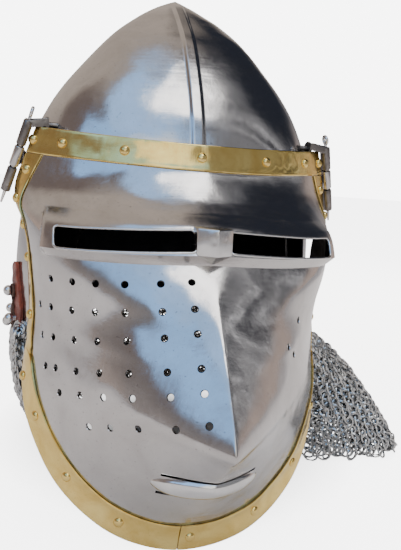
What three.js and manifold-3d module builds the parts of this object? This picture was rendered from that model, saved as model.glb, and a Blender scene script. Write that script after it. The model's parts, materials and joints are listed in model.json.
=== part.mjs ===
// A hounskull bascinet: a pointed one-piece skull, a snouted visor that lifts on two side
// pivots, brass edging held by dome rivets, hinges with wire pins, and a mail curtain hung
// from a leather band by a row of vervelles. Millimetres, +Z up, the face looks along -Y.
import * as THREE from 'three';
import { ConvexGeometry } from 'three/addons/geometries/ConvexGeometry.js';
import { mergeVertices } from 'three/addons/utils/BufferGeometryUtils.js';
import Module from 'manifold-3d';

const wasm = await Module();
wasm.setup();

// Skull. Places are measured from the brow line in height and from the face's hinge line in depth.
const APEX_HEIGHT = 117;
const APEX_BACK = 72;
const SKULL_HALF_WIDTH = 114;
const SKULL_FRONT = 38;
const SKULL_BACK = 181;
const SKULL_WIDEST = 42;
const SKULL_WALL = 2;
const SKULL_RIM_DROP = 145;
const FACE_TOP_DROP = 28;
const FACE_ANGLE_TOP = 0.62;
const FACE_ANGLE_SIDE = 0.82;
const RIDGE_HALF_WIDTH = 3.2;
const RIDGE_FOOT = 2.2;
const RIDGE_RISE = 1.6;

// Visor. Its hinge edges lie inside the skull's widest place by an inset.
const VISOR_INSET = 9;
const VISOR_HALF_WIDTH = SKULL_HALF_WIDTH - VISOR_INSET;
const SNOUT_REACH = 152;
const CHIN_DROP = 256;
const VISOR_WALL = 1.6;
const EYE_SLOT_HEIGHT = 12.5;
const EYE_SLOT_DROP = 49;
const EYE_SLOT_INNER = 11;
const EYE_SLOT_OUTER = 94;
const EYE_SLOT_BACK = 25;
const EYE_SLOT_FALL = 5.5;
const LEDGE_OUT = 7;
const LEDGE_LIP = 2;
const LEDGE_FOOT = 6.5;
const LEDGE_FADE = 5;
const NOSE_KEEL_RISE = 5;
const MOUTH_DROP = 187;
const MOUTH_HALF_LENGTH = 34;
const MOUTH_BAR_WIDTH = 14;
const MOUTH_BAR_RISE = 4.5;
const MOUTH_SLIT = 2.5;
const MOUTH_SLIT_END = 4;
const BREATH_RADIUS = 2.1;
const BREATH_SIDES = 6;

// Brass edging and rivets
const BRASS_THICKNESS = 1;
const BROW_BAND_WIDTH = 17;
const SIDE_TRIM_WIDTH = 13;
const CHIN_TRIM_WIDTH = 19;
const TRIM_JOINT_SIDE = 8;
const RIVET_RADIUS = 3.4;
const RIVET_RISE = 2.3;
const RIVET_SIDES = 8;

// Hinges and pivots, for the side at +X
const PIVOT_BACK = 9;
const PIVOT_HEIGHT = 13;
const BOLT_RADIUS = 2.2;
const BOLT_HEAD_RADIUS = 3.3;
const BOLT_HEAD_RISE = 1.8;
const BOSS_RADIUS = 5.5;
const ARM_THICKNESS = 2.2;
const ARM_WIDTH = 5;
const NECK_CLEARANCE = 1;
const LEAF_THICKNESS = 1.2;
const LEAF_HEIGHT = 5.8;
const LEAF_START = 0.88;
const LEAF_TURN = 3;
const BARREL_RADIUS = 3.4;
const BARREL_TOP = new THREE.Vector3(VISOR_HALF_WIDTH + 4.3, 3, 15);
const BARREL_FOOT = new THREE.Vector3(VISOR_HALF_WIDTH + 18.4, 14, -33);
const KNUCKLE_GAP = 1;
const PIN_RADIUS = 1.2;
const PIN_TAIL = 9;
const PIN_LOOP_RADIUS = 2.8;

// Leather band, vervelles and mail
const LEATHER_WIDTH = 22;
const LEATHER_THICKNESS = 2.5;
const VERVELLE_RADIUS = 4;
const VERVELLE_RISE = 8;
const VERVELLE_SIDES = 7;
const MAIL_THICKNESS = 3;
const MAIL_LIFT = 0.8;
const MAIL_SPLAY = 236;
const MAIL_BACK = 222;

const FIT_GAP = 0.3;

const STEEL = { color: 0xa9a7a4, roughness: 0.22, metalness: 1 };
const DARK_STEEL = { color: 0x4c4744, roughness: 0.45, metalness: 1 };
const BRASS = { color: 0xc9a54a, roughness: 0.28, metalness: 1 };
const LEATHER = { color: 0x6e2f20, roughness: 0.7, metalness: 0 };
const MAIL_STEEL = { color: 0x8b8a88, roughness: 0.4, metalness: 1 };

const SIDES = [['right', -1], ['left', 1]];

const helmet = new THREE.Group();

function addPiece(name, geometry, look) {
  const mesh = new THREE.Mesh(geometry, new THREE.MeshStandardMaterial(look));
  mesh.name = name;
  helmet.add(mesh);
}

// Booleans

function toSolid(geometry) {
  const bare = new THREE.BufferGeometry();
  bare.setAttribute('position', geometry.attributes.position);
  bare.setIndex(geometry.index);
  const merged = mergeVertices(bare, 1e-4);
  const vertProperties = new Float32Array(merged.attributes.position.array);
  const triVerts = new Uint32Array(merged.index.array);
  return new wasm.Manifold(new wasm.Mesh({ numProp: 3, vertProperties, triVerts }));
}

function toGeometry(solid) {
  const mesh = solid.getMesh();
  const geometry = new THREE.BufferGeometry();
  geometry.setAttribute('position', new THREE.BufferAttribute(mesh.vertProperties, 3));
  geometry.setIndex(new THREE.BufferAttribute(mesh.triVerts, 1));
  return geometry;
}

function joined(solids) {
  return solids.reduce((whole, solid) => whole.add(solid));
}

// Surfaces and walls

// The place between two limits where something stops being true.
function lastPlace(low, high, holds) {
  let [near, far] = [low, high];
  for (let round = 0; round < 24; round++) {
    const middle = (near + far) / 2;
    if (holds(middle)) near = middle;
    else far = middle;
  }
  return near;
}

function grid(rows, columns, point) {
  return rows.map((row) => columns.map((at) => point(at, row)));
}

// A table's value at a place along its key column, by a smooth curve through its rows.
function curve(table, key, place, value) {
  const last = table.length - 1;
  let row = table.findIndex((entry) => place < entry[key]) - 1;
  row = row < -1 ? last - 1 : THREE.MathUtils.clamp(row, 0, last - 1);
  const entry = (i) => table[THREE.MathUtils.clamp(i, 0, last)];
  const slope = (a, b) => (entry(b)[value] - entry(a)[value]) / (entry(b)[key] - entry(a)[key]);
  const span = entry(row + 1)[key] - entry(row)[key];
  const t = (place - entry(row)[key]) / span;
  const into = slope(Math.max(row - 1, 0), row + 1) * span;
  const out = slope(row, Math.min(row + 2, last)) * span;
  return (
    entry(row)[value] * (1 - 3 * t ** 2 + 2 * t ** 3) +
    entry(row + 1)[value] * (3 * t ** 2 - 2 * t ** 3) +
    into * (t - 2 * t ** 2 + t ** 3) +
    out * (t ** 3 - t ** 2)
  );
}

// Turns the faces round where they enclose a negative volume, and drops the flat ones.
function outward(points, faces) {
  const whole = new THREE.BufferGeometry();
  const places = points.flatMap((point) => point.toArray());
  whole.setAttribute('position', new THREE.Float32BufferAttribute(places, 3));
  whole.setIndex(faces);
  const merged = mergeVertices(whole, 1e-3);
  const place = merged.attributes.position;
  const corner = (i) => new THREE.Vector3().fromBufferAttribute(place, i);
  const kept = [];
  let volume = 0;
  for (let i = 0; i < faces.length; i += 3) {
    const [p, q, r] = merged.index.array.slice(i, i + 3);
    if (p === q || q === r || p === r) continue;
    volume += corner(p).dot(corner(q).cross(corner(r)));
    kept.push(p, q, r);
  }
  merged.setIndex(volume < 0 ? kept.reverse() : kept);
  return merged;
}

// A closed wall between two grids of points that have the same rows and columns.
function wallBetween(outer, inner, round = false) {
  const rows = outer.length;
  const columns = outer[0].length;
  const at = (side, i, j) => side * rows * columns + i * columns + (j % columns);
  const faces = [];
  const quad = (a, b, c, d) => faces.push(a, b, c, a, c, d);
  for (let j = 0; j < (round ? columns : columns - 1); j++) {
    const mirrored = j >= (columns - 1) / 2;
    for (let i = 0; i < rows - 1; i++) {
      for (const side of [0, 1]) {
        const corners = [at(side, i, j), at(side, i + 1, j), at(side, i + 1, j + 1), at(side, i, j + 1)];
        if (side) corners.splice(1, 3, corners[3], corners[2], corners[1]);
        if (mirrored) corners.push(corners.shift());
        quad(...corners);
      }
    }
    quad(at(1, 0, j), at(0, 0, j), at(0, 0, j + 1), at(1, 0, j + 1));
    quad(at(0, rows - 1, j), at(1, rows - 1, j), at(1, rows - 1, j + 1), at(0, rows - 1, j + 1));
  }
  for (let i = 0; i < (round ? 0 : rows - 1); i++) {
    quad(at(0, i, 0), at(1, i, 0), at(1, i + 1, 0), at(0, i + 1, 0));
    const end = columns - 1;
    quad(at(1, i, end), at(0, i, end), at(0, i + 1, end), at(1, i + 1, end));
  }
  return outward([...outer.flat(), ...inner.flat()], faces);
}

// A rod with a many-sided section along a path.
function rod(points, radius, sides, steps) {
  const path = new THREE.CatmullRomCurve3(points);
  const section = new THREE.Shape();
  for (let i = 0; i < sides; i++) {
    const turn = (2 * Math.PI * i) / sides;
    section[i ? 'lineTo' : 'moveTo'](radius * Math.cos(turn), radius * Math.sin(turn));
  }
  return new THREE.ExtrudeGeometry(section, { steps, extrudePath: path });
}

// Turns a piece made round +Z so that it stands on a point along a direction.
function standing(geometry, point, direction) {
  const turn = new THREE.Quaternion().setFromUnitVectors(new THREE.Vector3(0, 0, 1), direction);
  return geometry.applyQuaternion(turn).translate(...point.toArray());
}

function turned(profile, sides) {
  const lathe = new THREE.LatheGeometry(profile.map(([r, z]) => new THREE.Vector2(r, z)), sides);
  return lathe.rotateX(Math.PI / 2);
}

// Skull. Heights above the brow are shares of APEX_HEIGHT, and those below it of the rim's drop.
// Width, front and back are shares of the reaches from the middle, and middle is the share of
// the way from the widest place back to the point.
const SKULL_SECTIONS = [
  { height: -1.0, width: 0.985, front: 0.96, back: 0.985, middle: 0.0 },
  { height: -0.6, width: 1.0, front: 1.0, back: 1.0, middle: 0.0 },
  { height: -0.25, width: 0.965, front: 0.955, back: 0.99, middle: 0.0 },
  { height: 0.0, width: 0.92, front: 0.887, back: 0.961, middle: 0.0 },
  { height: 0.16, width: 0.868, front: 0.81, back: 0.952, middle: 0.0 },
  { height: 0.34, width: 0.765, front: 0.67, back: 0.919, middle: 0.0 },
  { height: 0.54, width: 0.6, front: 0.47, back: 0.832, middle: 0.03 },
  { height: 0.72, width: 0.44, front: 0.31, back: 0.665, middle: 0.22 },
  { height: 0.85, width: 0.28, front: 0.175, back: 0.455, middle: 0.52 },
  { height: 0.93, width: 0.152, front: 0.09, back: 0.25, middle: 0.78 },
  { height: 0.975, width: 0.062, front: 0.04, back: 0.08, middle: 0.94 },
  { height: 1.0, width: 0.0, front: 0.0, back: 0.0, middle: 1.0 },
];
const SKULL_ROWS = [1, 0.975, 0.93, 0.85, 0.72, 0.54, 0.34, 0.16, 0, -0.25, -0.5, -0.75, -1];
const SKULL_SIDE_COLUMNS = 7; // from the ridge to the widest place, and again to the back
const SKULL_POWER = 2.3;
const RIDGE_END = -0.5;

// The angle runs from 0 at the face round to plus or minus pi at the back.
function skullRimDrop(angle) {
  const closed = THREE.MathUtils.smoothstep(Math.abs(angle), FACE_ANGLE_TOP, FACE_ANGLE_SIDE);
  return THREE.MathUtils.lerp(FACE_TOP_DROP, SKULL_RIM_DROP, closed);
}

function skullSection(share, inset) {
  const value = (name) => curve(SKULL_SECTIONS, 'height', share, name);
  return {
    middle: SKULL_WIDEST + (APEX_BACK - SKULL_WIDEST) * value('middle'),
    width: value('width') * (SKULL_HALF_WIDTH - inset),
    front: value('front') * (SKULL_FRONT + SKULL_WIDEST - inset),
    back: value('back') * (SKULL_BACK - SKULL_WIDEST - inset),
  };
}

function rounded(value, power) {
  return Math.sign(value) * Math.abs(value) ** (2 / power);
}

// z is the height above the brow line, share the same height as the table has it.
function skullPoint(angle, share, inset, drop = SKULL_RIM_DROP) {
  const section = skullSection(share, inset);
  const reach = Math.cos(angle) > 0 ? section.front : section.back;
  const z = share > 0 ? share * (APEX_HEIGHT - inset) : share * drop;
  const x = section.width * rounded(Math.sin(angle), SKULL_POWER);
  return new THREE.Vector3(x, section.middle - reach * rounded(Math.cos(angle), SKULL_POWER), z);
}

// Column angles at one height: the ridge keeps its width in front and behind, and the sides
// share out what is left.
function skullColumns(share) {
  const { width } = skullSection(share, 0);
  const angleAt = (x) => Math.asin(Math.min(x / Math.max(width, 1e-6), 0.55) ** (SKULL_POWER / 2));
  const top = angleAt(RIDGE_HALF_WIDTH);
  const foot = angleAt(RIDGE_HALF_WIDTH + RIDGE_FOOT);
  const quarter = Array.from({ length: SKULL_SIDE_COLUMNS + 1 }, (_, i) => {
    return foot + ((Math.PI / 2 - foot) * i) / SKULL_SIDE_COLUMNS;
  });
  const half = [top, ...quarter, ...quarter.slice(0, -1).reverse().map((a) => Math.PI - a), Math.PI - top];
  return [...half, ...half.slice().reverse().map((a) => -a)];
}

function skullRow(share, inset) {
  const angles = skullColumns(share);
  const fromRidge = (angle) => Math.min(Math.abs(angle), Math.PI - Math.abs(angle));
  const onRidge = (angle) => fromRidge(angle) < Math.abs(angles[1]) - 1e-6;
  return angles.map((angle) => {
    const below = share > 0 ? share : share * (skullRimDrop(angle) / SKULL_RIM_DROP);
    const point = skullPoint(angle, below, inset);
    const rise = onRidge(angle) && share < 1 && share > RIDGE_END ? RIDGE_RISE : 0;
    point.y += Math.abs(angle) < Math.PI / 2 ? -rise : rise;
    return point;
  });
}

// The skull's wall, made thicker by a gap on both faces where it cuts what lies against it.
function skullWall(gap) {
  const rows = (inset) => SKULL_ROWS.map((share) => skullRow(share, inset));
  return toSolid(wallBetween(rows(-gap), rows(SKULL_WALL + gap), true));
}

// Visor. Each row runs from the middle line out to the side edge. drop and edgeDrop are shares of
// CHIN_DROP, reach and edgeReach of SNOUT_REACH forward of the hinge line, edgeWidth of the visor's
// half-width. keel is 2 on a round front and 1 on a sharp one, side is 1 on a splayed side edge.
const VISOR_SECTIONS = [
  { drop: -0.033, reach: 0.232, edgeWidth: 0.99, edgeReach: -0.04, edgeDrop: -0.045, keel: 2, side: 1 },
  { drop: 0.033, reach: 0.26, edgeWidth: 1.045, edgeReach: -0.05, edgeDrop: 0.024, keel: 2, side: 1 },
  { drop: 0.1, reach: 0.345, edgeWidth: 1.1, edgeReach: -0.075, edgeDrop: 0.1, keel: 2, side: 1.15 },
  { drop: 0.15, reach: 0.43, edgeWidth: 1.1, edgeReach: -0.07, edgeDrop: 0.15, keel: 2, side: 1.7 },
  { drop: 0.195, reach: 0.475, edgeWidth: 1.055, edgeReach: -0.035, edgeDrop: 0.195, keel: 2, side: 2.6 },
  { drop: 0.25, reach: 0.525, edgeWidth: 1.025, edgeReach: -0.01, edgeDrop: 0.25, keel: 1.75, side: 2.8 },
  { drop: 0.375, reach: 0.71, edgeWidth: 1.005, edgeReach: 0.015, edgeDrop: 0.355, keel: 1.15, side: 2 },
  { drop: 0.484, reach: 0.86, edgeWidth: 0.995, edgeReach: 0.04, edgeDrop: 0.43, keel: 1.05, side: 1.65 },
  { drop: 0.61, reach: 1, edgeWidth: 1.005, edgeReach: 0.06, edgeDrop: 0.5, keel: 1, side: 1.5 },
  { drop: 0.65, reach: 0.935, edgeWidth: 1.005, edgeReach: 0.065, edgeDrop: 0.515, keel: 1.15, side: 1.52 },
  { drop: 0.76, reach: 0.765, edgeWidth: 1.015, edgeReach: 0.075, edgeDrop: 0.55, keel: 1.5, side: 1.65 },
  { drop: 0.925, reach: 0.555, edgeWidth: 1.025, edgeReach: 0.088, edgeDrop: 0.588, keel: 1.95, side: 1.85 },
  { drop: 1, reach: 0.54, edgeWidth: 1.03, edgeReach: 0.092, edgeDrop: 0.605, keel: 2.05, side: 1.95 },
];
const BAND_TOP = VISOR_SECTIONS[0].drop;
const BAND_FOOT = BAND_TOP + BROW_BAND_WIDTH / CHIN_DROP;
const SLOT_TOP = (EYE_SLOT_DROP - EYE_SLOT_HEIGHT / 2 - LEDGE_LIP) / CHIN_DROP;
const SLOT_FOOT = (EYE_SLOT_DROP + EYE_SLOT_HEIGHT / 2 + LEDGE_LIP) / CHIN_DROP;
const LEDGE_START = SLOT_TOP - LEDGE_FOOT / CHIN_DROP;
const LEDGE_END = SLOT_FOOT + LEDGE_FOOT / CHIN_DROP;
const EYE_FALL_END = 0.36;
const VISOR_ROWS = [
  BAND_TOP, BAND_FOOT, 0.08, LEDGE_START, SLOT_TOP, SLOT_FOOT, LEDGE_END,
  0.3, 0.36, 0.43, 0.5, 0.56, 0.61, 0.645, 0.71, 0.79, 0.88, 0.945, 1,
];
const VISOR_HALF_COLUMNS = 12;
const VISOR_COLUMNS = Array.from({ length: 2 * VISOR_HALF_COLUMNS + 1 }, (_, i) => {
  return i / VISOR_HALF_COLUMNS - 1;
});

// How much further down the rows round the eye slots run towards the side edge.
function eyeFall(across, down) {
  const begun = THREE.MathUtils.smoothstep(down, BAND_FOOT, LEDGE_START);
  const over = THREE.MathUtils.smoothstep(down, LEDGE_END, EYE_FALL_END);
  return (EYE_SLOT_FALL / CHIN_DROP) * Math.abs(across) * (begun - over);
}

// A share across the visor and a share down it give a place on the plate without its ledges.
function visorPlate(across, row) {
  const down = row + eyeFall(across, row);
  const value = (name) => curve(VISOR_SECTIONS, 'drop', down, name);
  const turn = (Math.abs(across) * Math.PI) / 2;
  const x = Math.sign(across) * Math.sin(turn) ** (2 / value('keel'));
  const sweep = 1 - Math.max(Math.cos(turn), 0) ** (2 / value('side'));
  const reach = THREE.MathUtils.lerp(value('reach'), value('edgeReach'), sweep);
  const drop = THREE.MathUtils.lerp(down, value('edgeDrop'), sweep);
  const width = value('edgeWidth') * VISOR_HALF_WIDTH;
  return new THREE.Vector3(x * width, -reach * SNOUT_REACH, -drop * CHIN_DROP);
}

// The normal is taken a little inside the side edge and the chin edge, where rows run together.
function visorNormal(across, down) {
  const step = 2e-3;
  const s = THREE.MathUtils.clamp(across, -0.96, 0.96);
  const t = THREE.MathUtils.clamp(down, BAND_TOP + step, 0.97);
  const along = visorPlate(s + step, t).sub(visorPlate(s - step, t));
  const downwards = visorPlate(s, t + step).sub(visorPlate(s, t - step));
  return downwards.cross(along).normalize();
}

// How far the eye ledges stand out of the plate.
function ledgeRise(across, down) {
  const profile = [
    { drop: LEDGE_START, rise: 0 },
    { drop: SLOT_TOP, rise: 0.55 },
    { drop: SLOT_FOOT, rise: 1 },
    { drop: LEDGE_END, rise: 0 },
  ];
  const next = profile.findIndex((row) => down < row.drop);
  if (next < 1) return 0;
  const [a, b] = [profile[next - 1], profile[next]];
  const rise = THREE.MathUtils.mapLinear(down, a.drop, b.drop, a.rise, b.rise);
  const x = Math.abs(visorPlate(across, down).x);
  const end = EYE_SLOT_OUTER + LEDGE_LIP;
  return LEDGE_OUT * rise * (1 - THREE.MathUtils.smoothstep(x, end, end + LEDGE_FADE));
}

function visorPoint(across, down, lift) {
  const normal = visorNormal(across, down);
  const level = new THREE.Vector3(normal.x, normal.y, 0).normalize();
  return visorPlate(across, down)
    .addScaledVector(level, ledgeRise(across, down))
    .addScaledVector(normal, lift);
}

function visorShell(rows, low, high) {
  const lifted = (lift) => grid(rows, VISOR_COLUMNS, (across, down) => visorPoint(across, down, lift));
  return toSolid(wallBetween(lifted(high), lifted(low)));
}

// The shares across and down at which the plate has a place x and z.
function visorPlace(x, z) {
  let [across, down] = [0.5, 0.5];
  for (let round = 0; round < 12; round++) {
    down = lastPlace(BAND_TOP, 1, (share) => visorPlate(across, share).z > z);
    across = lastPlace(0, 1, (share) => visorPlate(share, down).x < Math.abs(x));
  }
  return [Math.sign(x) * across, down];
}

// Visor pieces

// Rows of breath holes on the right half. drop and fall are shares of CHIN_DROP at the middle line
// and out towards the edge, spread stretches the columns, whose places are shares of the half-width.
const BREATH_COLUMNS = [0.13, 0.3, 0.49, 0.64, 0.76, 0.87, 0.925];
const BREATH_ROWS = [
  { drop: 0.28, fall: 0.045, spread: 1.03, holes: 6 },
  { drop: 0.33, fall: 0.075, spread: 1.02, holes: 7 },
  { drop: 0.375, fall: 0.11, spread: 1.0, holes: 7 },
  { drop: 0.44, fall: 0.12, spread: 0.98, holes: 7 },
  { drop: 0.485, fall: 0.135, spread: 0.95, holes: 6 },
  { drop: 0.54, fall: 0.17, spread: 0.88, holes: 5 },
];
const LEFT_BREATH_PLACES = [
  { across: 0.64, drop: 0.394 },
  { across: 0.52, drop: 0.447 },
  { across: 0.58, drop: 0.472 },
];

function breathCutters() {
  const right = BREATH_ROWS.flatMap(({ drop, fall, spread, holes }) => {
    const places = BREATH_COLUMNS.slice(0, holes).map((column) => column * spread);
    return places.map((across) => ({ across: -across, drop: drop + fall * across }));
  });
  const deep = 2 * VISOR_WALL;
  return [...right, ...LEFT_BREATH_PLACES].map(({ across, drop }) => {
    const place = visorPlace(across * VISOR_HALF_WIDTH, -drop * CHIN_DROP);
    const profile = [[0, -deep], [BREATH_RADIUS, -deep], [BREATH_RADIUS, deep], [0, deep]];
    const drill = turned(profile, BREATH_SIDES);
    return toSolid(standing(drill, visorPoint(...place, -VISOR_WALL / 2), visorNormal(...place)));
  });
}

function hull(points) {
  return toSolid(new ConvexGeometry(points));
}

function slotCutter(side) {
  return hull([EYE_SLOT_INNER, EYE_SLOT_OUTER].flatMap((x) => {
    const fall = (EYE_SLOT_FALL * x) / VISOR_HALF_WIDTH;
    return [-0.5, 0.5].flatMap((half) => [-EYE_SLOT_BACK, -SNOUT_REACH].map((y) => {
      return new THREE.Vector3(side * x, y, half * EYE_SLOT_HEIGHT - EYE_SLOT_DROP - fall);
    }));
  }));
}

function noseWedge() {
  const top = -SLOT_TOP * CHIN_DROP;
  const foot = -SLOT_FOOT * CHIN_DROP;
  const half = EYE_SLOT_INNER + 1;
  const face = visorPoint(0, SLOT_FOOT, 0).y;
  const back = visorPoint(0, SLOT_TOP, -VISOR_WALL).y;
  const ridge = [top, foot].map((z) => new THREE.Vector3(0, face - NOSE_KEEL_RISE, z));
  const sides = [-half, half].flatMap((x) => [
    new THREE.Vector3(x, face, foot),
    new THREE.Vector3(x, face + NOSE_KEEL_RISE / 2, top),
    new THREE.Vector3(x, back, top),
    new THREE.Vector3(x, back, foot),
  ]);
  return hull([...ridge, ...sides, visorPoint(0, LEDGE_END, 0)]);
}

// A level strip of the plate between two heights, from one lift to another.
function mouthStrip(top, foot, half, low, high) {
  const columns = Array.from({ length: 13 }, (_, i) => half * (i / 6 - 1) + 1e-3);
  const lifted = (lift) => grid([top, foot], columns, (x, drop) => visorPoint(...visorPlace(x, -drop), lift));
  return toSolid(wallBetween(lifted(high), lifted(low)));
}

function visorPlateSolid() {
  const plate = visorShell(VISOR_ROWS, -VISOR_WALL, 0);
  const barFoot = MOUTH_DROP + MOUTH_BAR_WIDTH;
  const bar = mouthStrip(MOUTH_DROP, barFoot, MOUTH_HALF_LENGTH, -VISOR_WALL / 2, MOUTH_BAR_RISE);
  const slitHalf = MOUTH_HALF_LENGTH - MOUTH_SLIT_END;
  const slits = [[MOUTH_DROP - MOUTH_SLIT, MOUTH_DROP], [barFoot, barFoot + MOUTH_SLIT]];
  const slitCutters = slits.map(([top, foot]) => {
    return mouthStrip(top, foot, slitHalf, -2 * VISOR_WALL, VISOR_WALL);
  });
  const cutters = [slotCutter(-1), slotCutter(1), ...slitCutters, ...breathCutters()];
  return joined([plate, noseWedge(), bar]).subtract(joined(cutters));
}

function rim(across, down) {
  return visorPoint(across, down, 0);
}

const CHIN_EDGE = VISOR_COLUMNS.slice(1, -1).map((across) => rim(across, 1));
const CHIN_EDGE_START = 0.97;
const TUBE_SIDES = 12;

function chinTube(radius) {
  const path = [rim(-1, CHIN_EDGE_START), ...CHIN_EDGE, rim(1, CHIN_EDGE_START)];
  return toSolid(rod(path, radius, TUBE_SIDES, 2 * VISOR_HALF_COLUMNS));
}

function brassTrims() {
  const browRows = [BAND_TOP, BAND_FOOT];
  addPiece('brow_trim', toGeometry(visorShell(browRows, FIT_GAP, FIT_GAP + BRASS_THICKNESS)), BRASS);
  const below = VISOR_ROWS.filter((down) => down > BAND_FOOT);
  const shell = visorShell([BAND_FOOT + FIT_GAP / CHIN_DROP, ...below], FIT_GAP, FIT_GAP + BRASS_THICKNESS);
  const chinBand = shell.intersect(chinTube(CHIN_TRIM_WIDTH));
  const far = 2 * CHIN_DROP;
  for (const [name, side] of SIDES) {
    const places = [BAND_FOOT, ...below].map((down) => rim(side, down));
    const reach = toSolid(rod(places, SIDE_TRIM_WIDTH, TUBE_SIDES, below.length));
    const strip = shell.intersect(reach).subtract(chinTube(CHIN_TRIM_WIDTH + FIT_GAP));
    addPiece(`side_trim_${name}`, toGeometry(strip), BRASS);
    const cut = new THREE.BoxGeometry(far, far, far);
    cut.translate(side * (FIT_GAP / 2 - far / 2) - TRIM_JOINT_SIDE, 0, 0);
    addPiece(`chin_trim_${name}`, toGeometry(chinBand.subtract(toSolid(cut))), BRASS);
  }
}

// Places of the rivets: across the brow band, down each side strip, and across the chin band.
const BROW_RIVETS = [0, 0.305, 0.61, 0.9];
const SIDE_RIVETS = [0.067, 0.125, 0.1875, 0.283, 0.502, 0.93];
const CHIN_RIVETS = [0, 0.285, 0.53, 0.76];

function rivetPlaces(side) {
  const brow = BROW_RIVETS.map((across) => [across, (BAND_TOP + BAND_FOOT) / 2]);
  const strip = SIDE_RIVETS.map((down) => {
    const inside = (across) => rim(across, down).distanceTo(rim(1, down)) > SIDE_TRIM_WIDTH / 2;
    return [lastPlace(0, 1, inside), down];
  });
  const chin = CHIN_RIVETS.map((across) => {
    const toEdge = (down) => Math.min(...CHIN_EDGE.map((point) => point.distanceTo(rim(across, down))));
    return [across, lastPlace(0.5, 1, (down) => toEdge(down) > CHIN_TRIM_WIDTH / 2)];
  });
  const rows = { brow, side: strip, chin };
  return Object.entries(rows).flatMap(([row, places]) => {
    return places.map(([across, down], i) => ({ row, i, across: side * across, down }));
  });
}

function rivets() {
  const seat = visorShell(VISOR_ROWS, -VISOR_WALL, BRASS_THICKNESS + 2 * FIT_GAP);
  const dome = [[0, 0], [RIVET_RADIUS, 0], [0.75 * RIVET_RADIUS, 0.68 * RIVET_RISE], [0, RIVET_RISE]];
  for (const [name, side] of SIDES) {
    for (const { row, i, across, down } of rivetPlaces(side)) {
      if (across === 0 && side < 0) continue;
      const lift = BRASS_THICKNESS + FIT_GAP;
      const place = visorPoint(across, down, lift);
      const piece = standing(turned(dome, RIVET_SIDES), place, visorNormal(across, down));
      const label = across === 0 ? `rivet_${row}_middle` : `rivet_${row}_${name}_${i}`;
      addPiece(label, toGeometry(toSolid(piece).subtract(seat)), BRASS);
    }
  }
}

// Hinges. Each is made for the side at +X and mirrored for the other.

const BARREL = BARREL_FOOT.clone().sub(BARREL_TOP);
const BARREL_AXIS = BARREL.clone().normalize();
const BEHIND_BARREL = new THREE.Vector3(0, 1, 0).addScaledVector(BARREL_AXIS, -BARREL_AXIS.y).normalize();
const BESIDE_BARREL = BARREL_AXIS.clone().cross(BEHIND_BARREL);
const HINGE_SIDES = 8;
const MIDDLE_KNUCKLE = [0.35, 0.65];

function onBarrel(share, behind, beside) {
  const place = BARREL_TOP.clone().addScaledVector(BARREL, share);
  return place.addScaledVector(BEHIND_BARREL, behind).addScaledVector(BESIDE_BARREL, beside);
}

function ringPoints(radius, place) {
  return Array.from({ length: HINGE_SIDES }, (_, i) => {
    const turn = (2 * Math.PI * i) / HINGE_SIDES;
    return place(radius * Math.cos(turn), radius * Math.sin(turn));
  });
}

function barrelRing(share, radius) {
  return ringPoints(radius, (a, b) => onBarrel(share, a, b));
}

function pivotRing(x, radius) {
  return ringPoints(radius, (a, b) => new THREE.Vector3(x, PIVOT_BACK + a, PIVOT_HEIGHT + b));
}

function pinChannel() {
  const slack = PIN_TAIL / BARREL.length();
  return hull([-slack, 1 + slack].flatMap((share) => barrelRing(share, PIN_RADIUS + FIT_GAP)));
}

// How far out the skull's face at an inset lies at a depth and height beside the pivot.
function skullSide(y, z, inset) {
  const section = skullSection(z / APEX_HEIGHT, inset);
  const forward = Math.max(section.middle - y, 0) / section.front;
  return section.width * (1 - forward ** SKULL_POWER) ** (1 / SKULL_POWER);
}

const BOSS_INNER = Math.max(...pivotRing(0, BOSS_RADIUS).map(({ y, z }) => skullSide(y, z, 0))) + FIT_GAP;
const BOSS_OUTER = BOSS_INNER + ARM_THICKNESS;

function pivotArm() {
  const boss = hull([BOSS_INNER, BOSS_OUTER].flatMap((x) => pivotRing(x, BOSS_RADIUS)));
  const overVisor = rim(1, BAND_TOP).z + NECK_CLEARANCE;
  const neckFoot = [BOSS_INNER, BOSS_OUTER].flatMap((x) => {
    const fronts = [BOSS_RADIUS - FIT_GAP, BOLT_HEAD_RADIUS + 2 * FIT_GAP].map((ahead) => PIVOT_BACK - ahead);
    return fronts.flatMap((y) => [overVisor, overVisor + ARM_WIDTH].map((z) => new THREE.Vector3(x, y, z)));
  });
  const neckShares = [0, (BARREL_TOP.z - overVisor) / -BARREL.z];
  const neckTop = neckShares.flatMap((share) => barrelRing(share, BARREL_RADIUS));
  const neck = hull([...neckFoot, ...neckTop]);
  const strapInner = BARREL_RADIUS + FIT_GAP;
  const strap = (from, to) => [from, to].flatMap((share) => {
    return [strapInner, strapInner + ARM_THICKNESS].flatMap((behind) => [
      onBarrel(share, behind, -ARM_WIDTH / 2),
      onBarrel(share, behind, ARM_WIDTH / 2),
    ]);
  });
  const half = KNUCKLE_GAP / 2 / BARREL.length();
  const [upper, lower] = MIDDLE_KNUCKLE;
  const knuckle = (from, to) => {
    return hull([...[from, to].flatMap((share) => barrelRing(share, BARREL_RADIUS)), ...strap(from, to)]);
  };
  const whole = joined([boss, neck, hull(strap(0, 1)), knuckle(0, upper - half), knuckle(lower + half, 1)]);
  const hole = hull([0, BOSS_OUTER + ARM_THICKNESS].flatMap((x) => pivotRing(x, BOLT_RADIUS + FIT_GAP)));
  return whole.subtract(hole).subtract(pinChannel());
}

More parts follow.
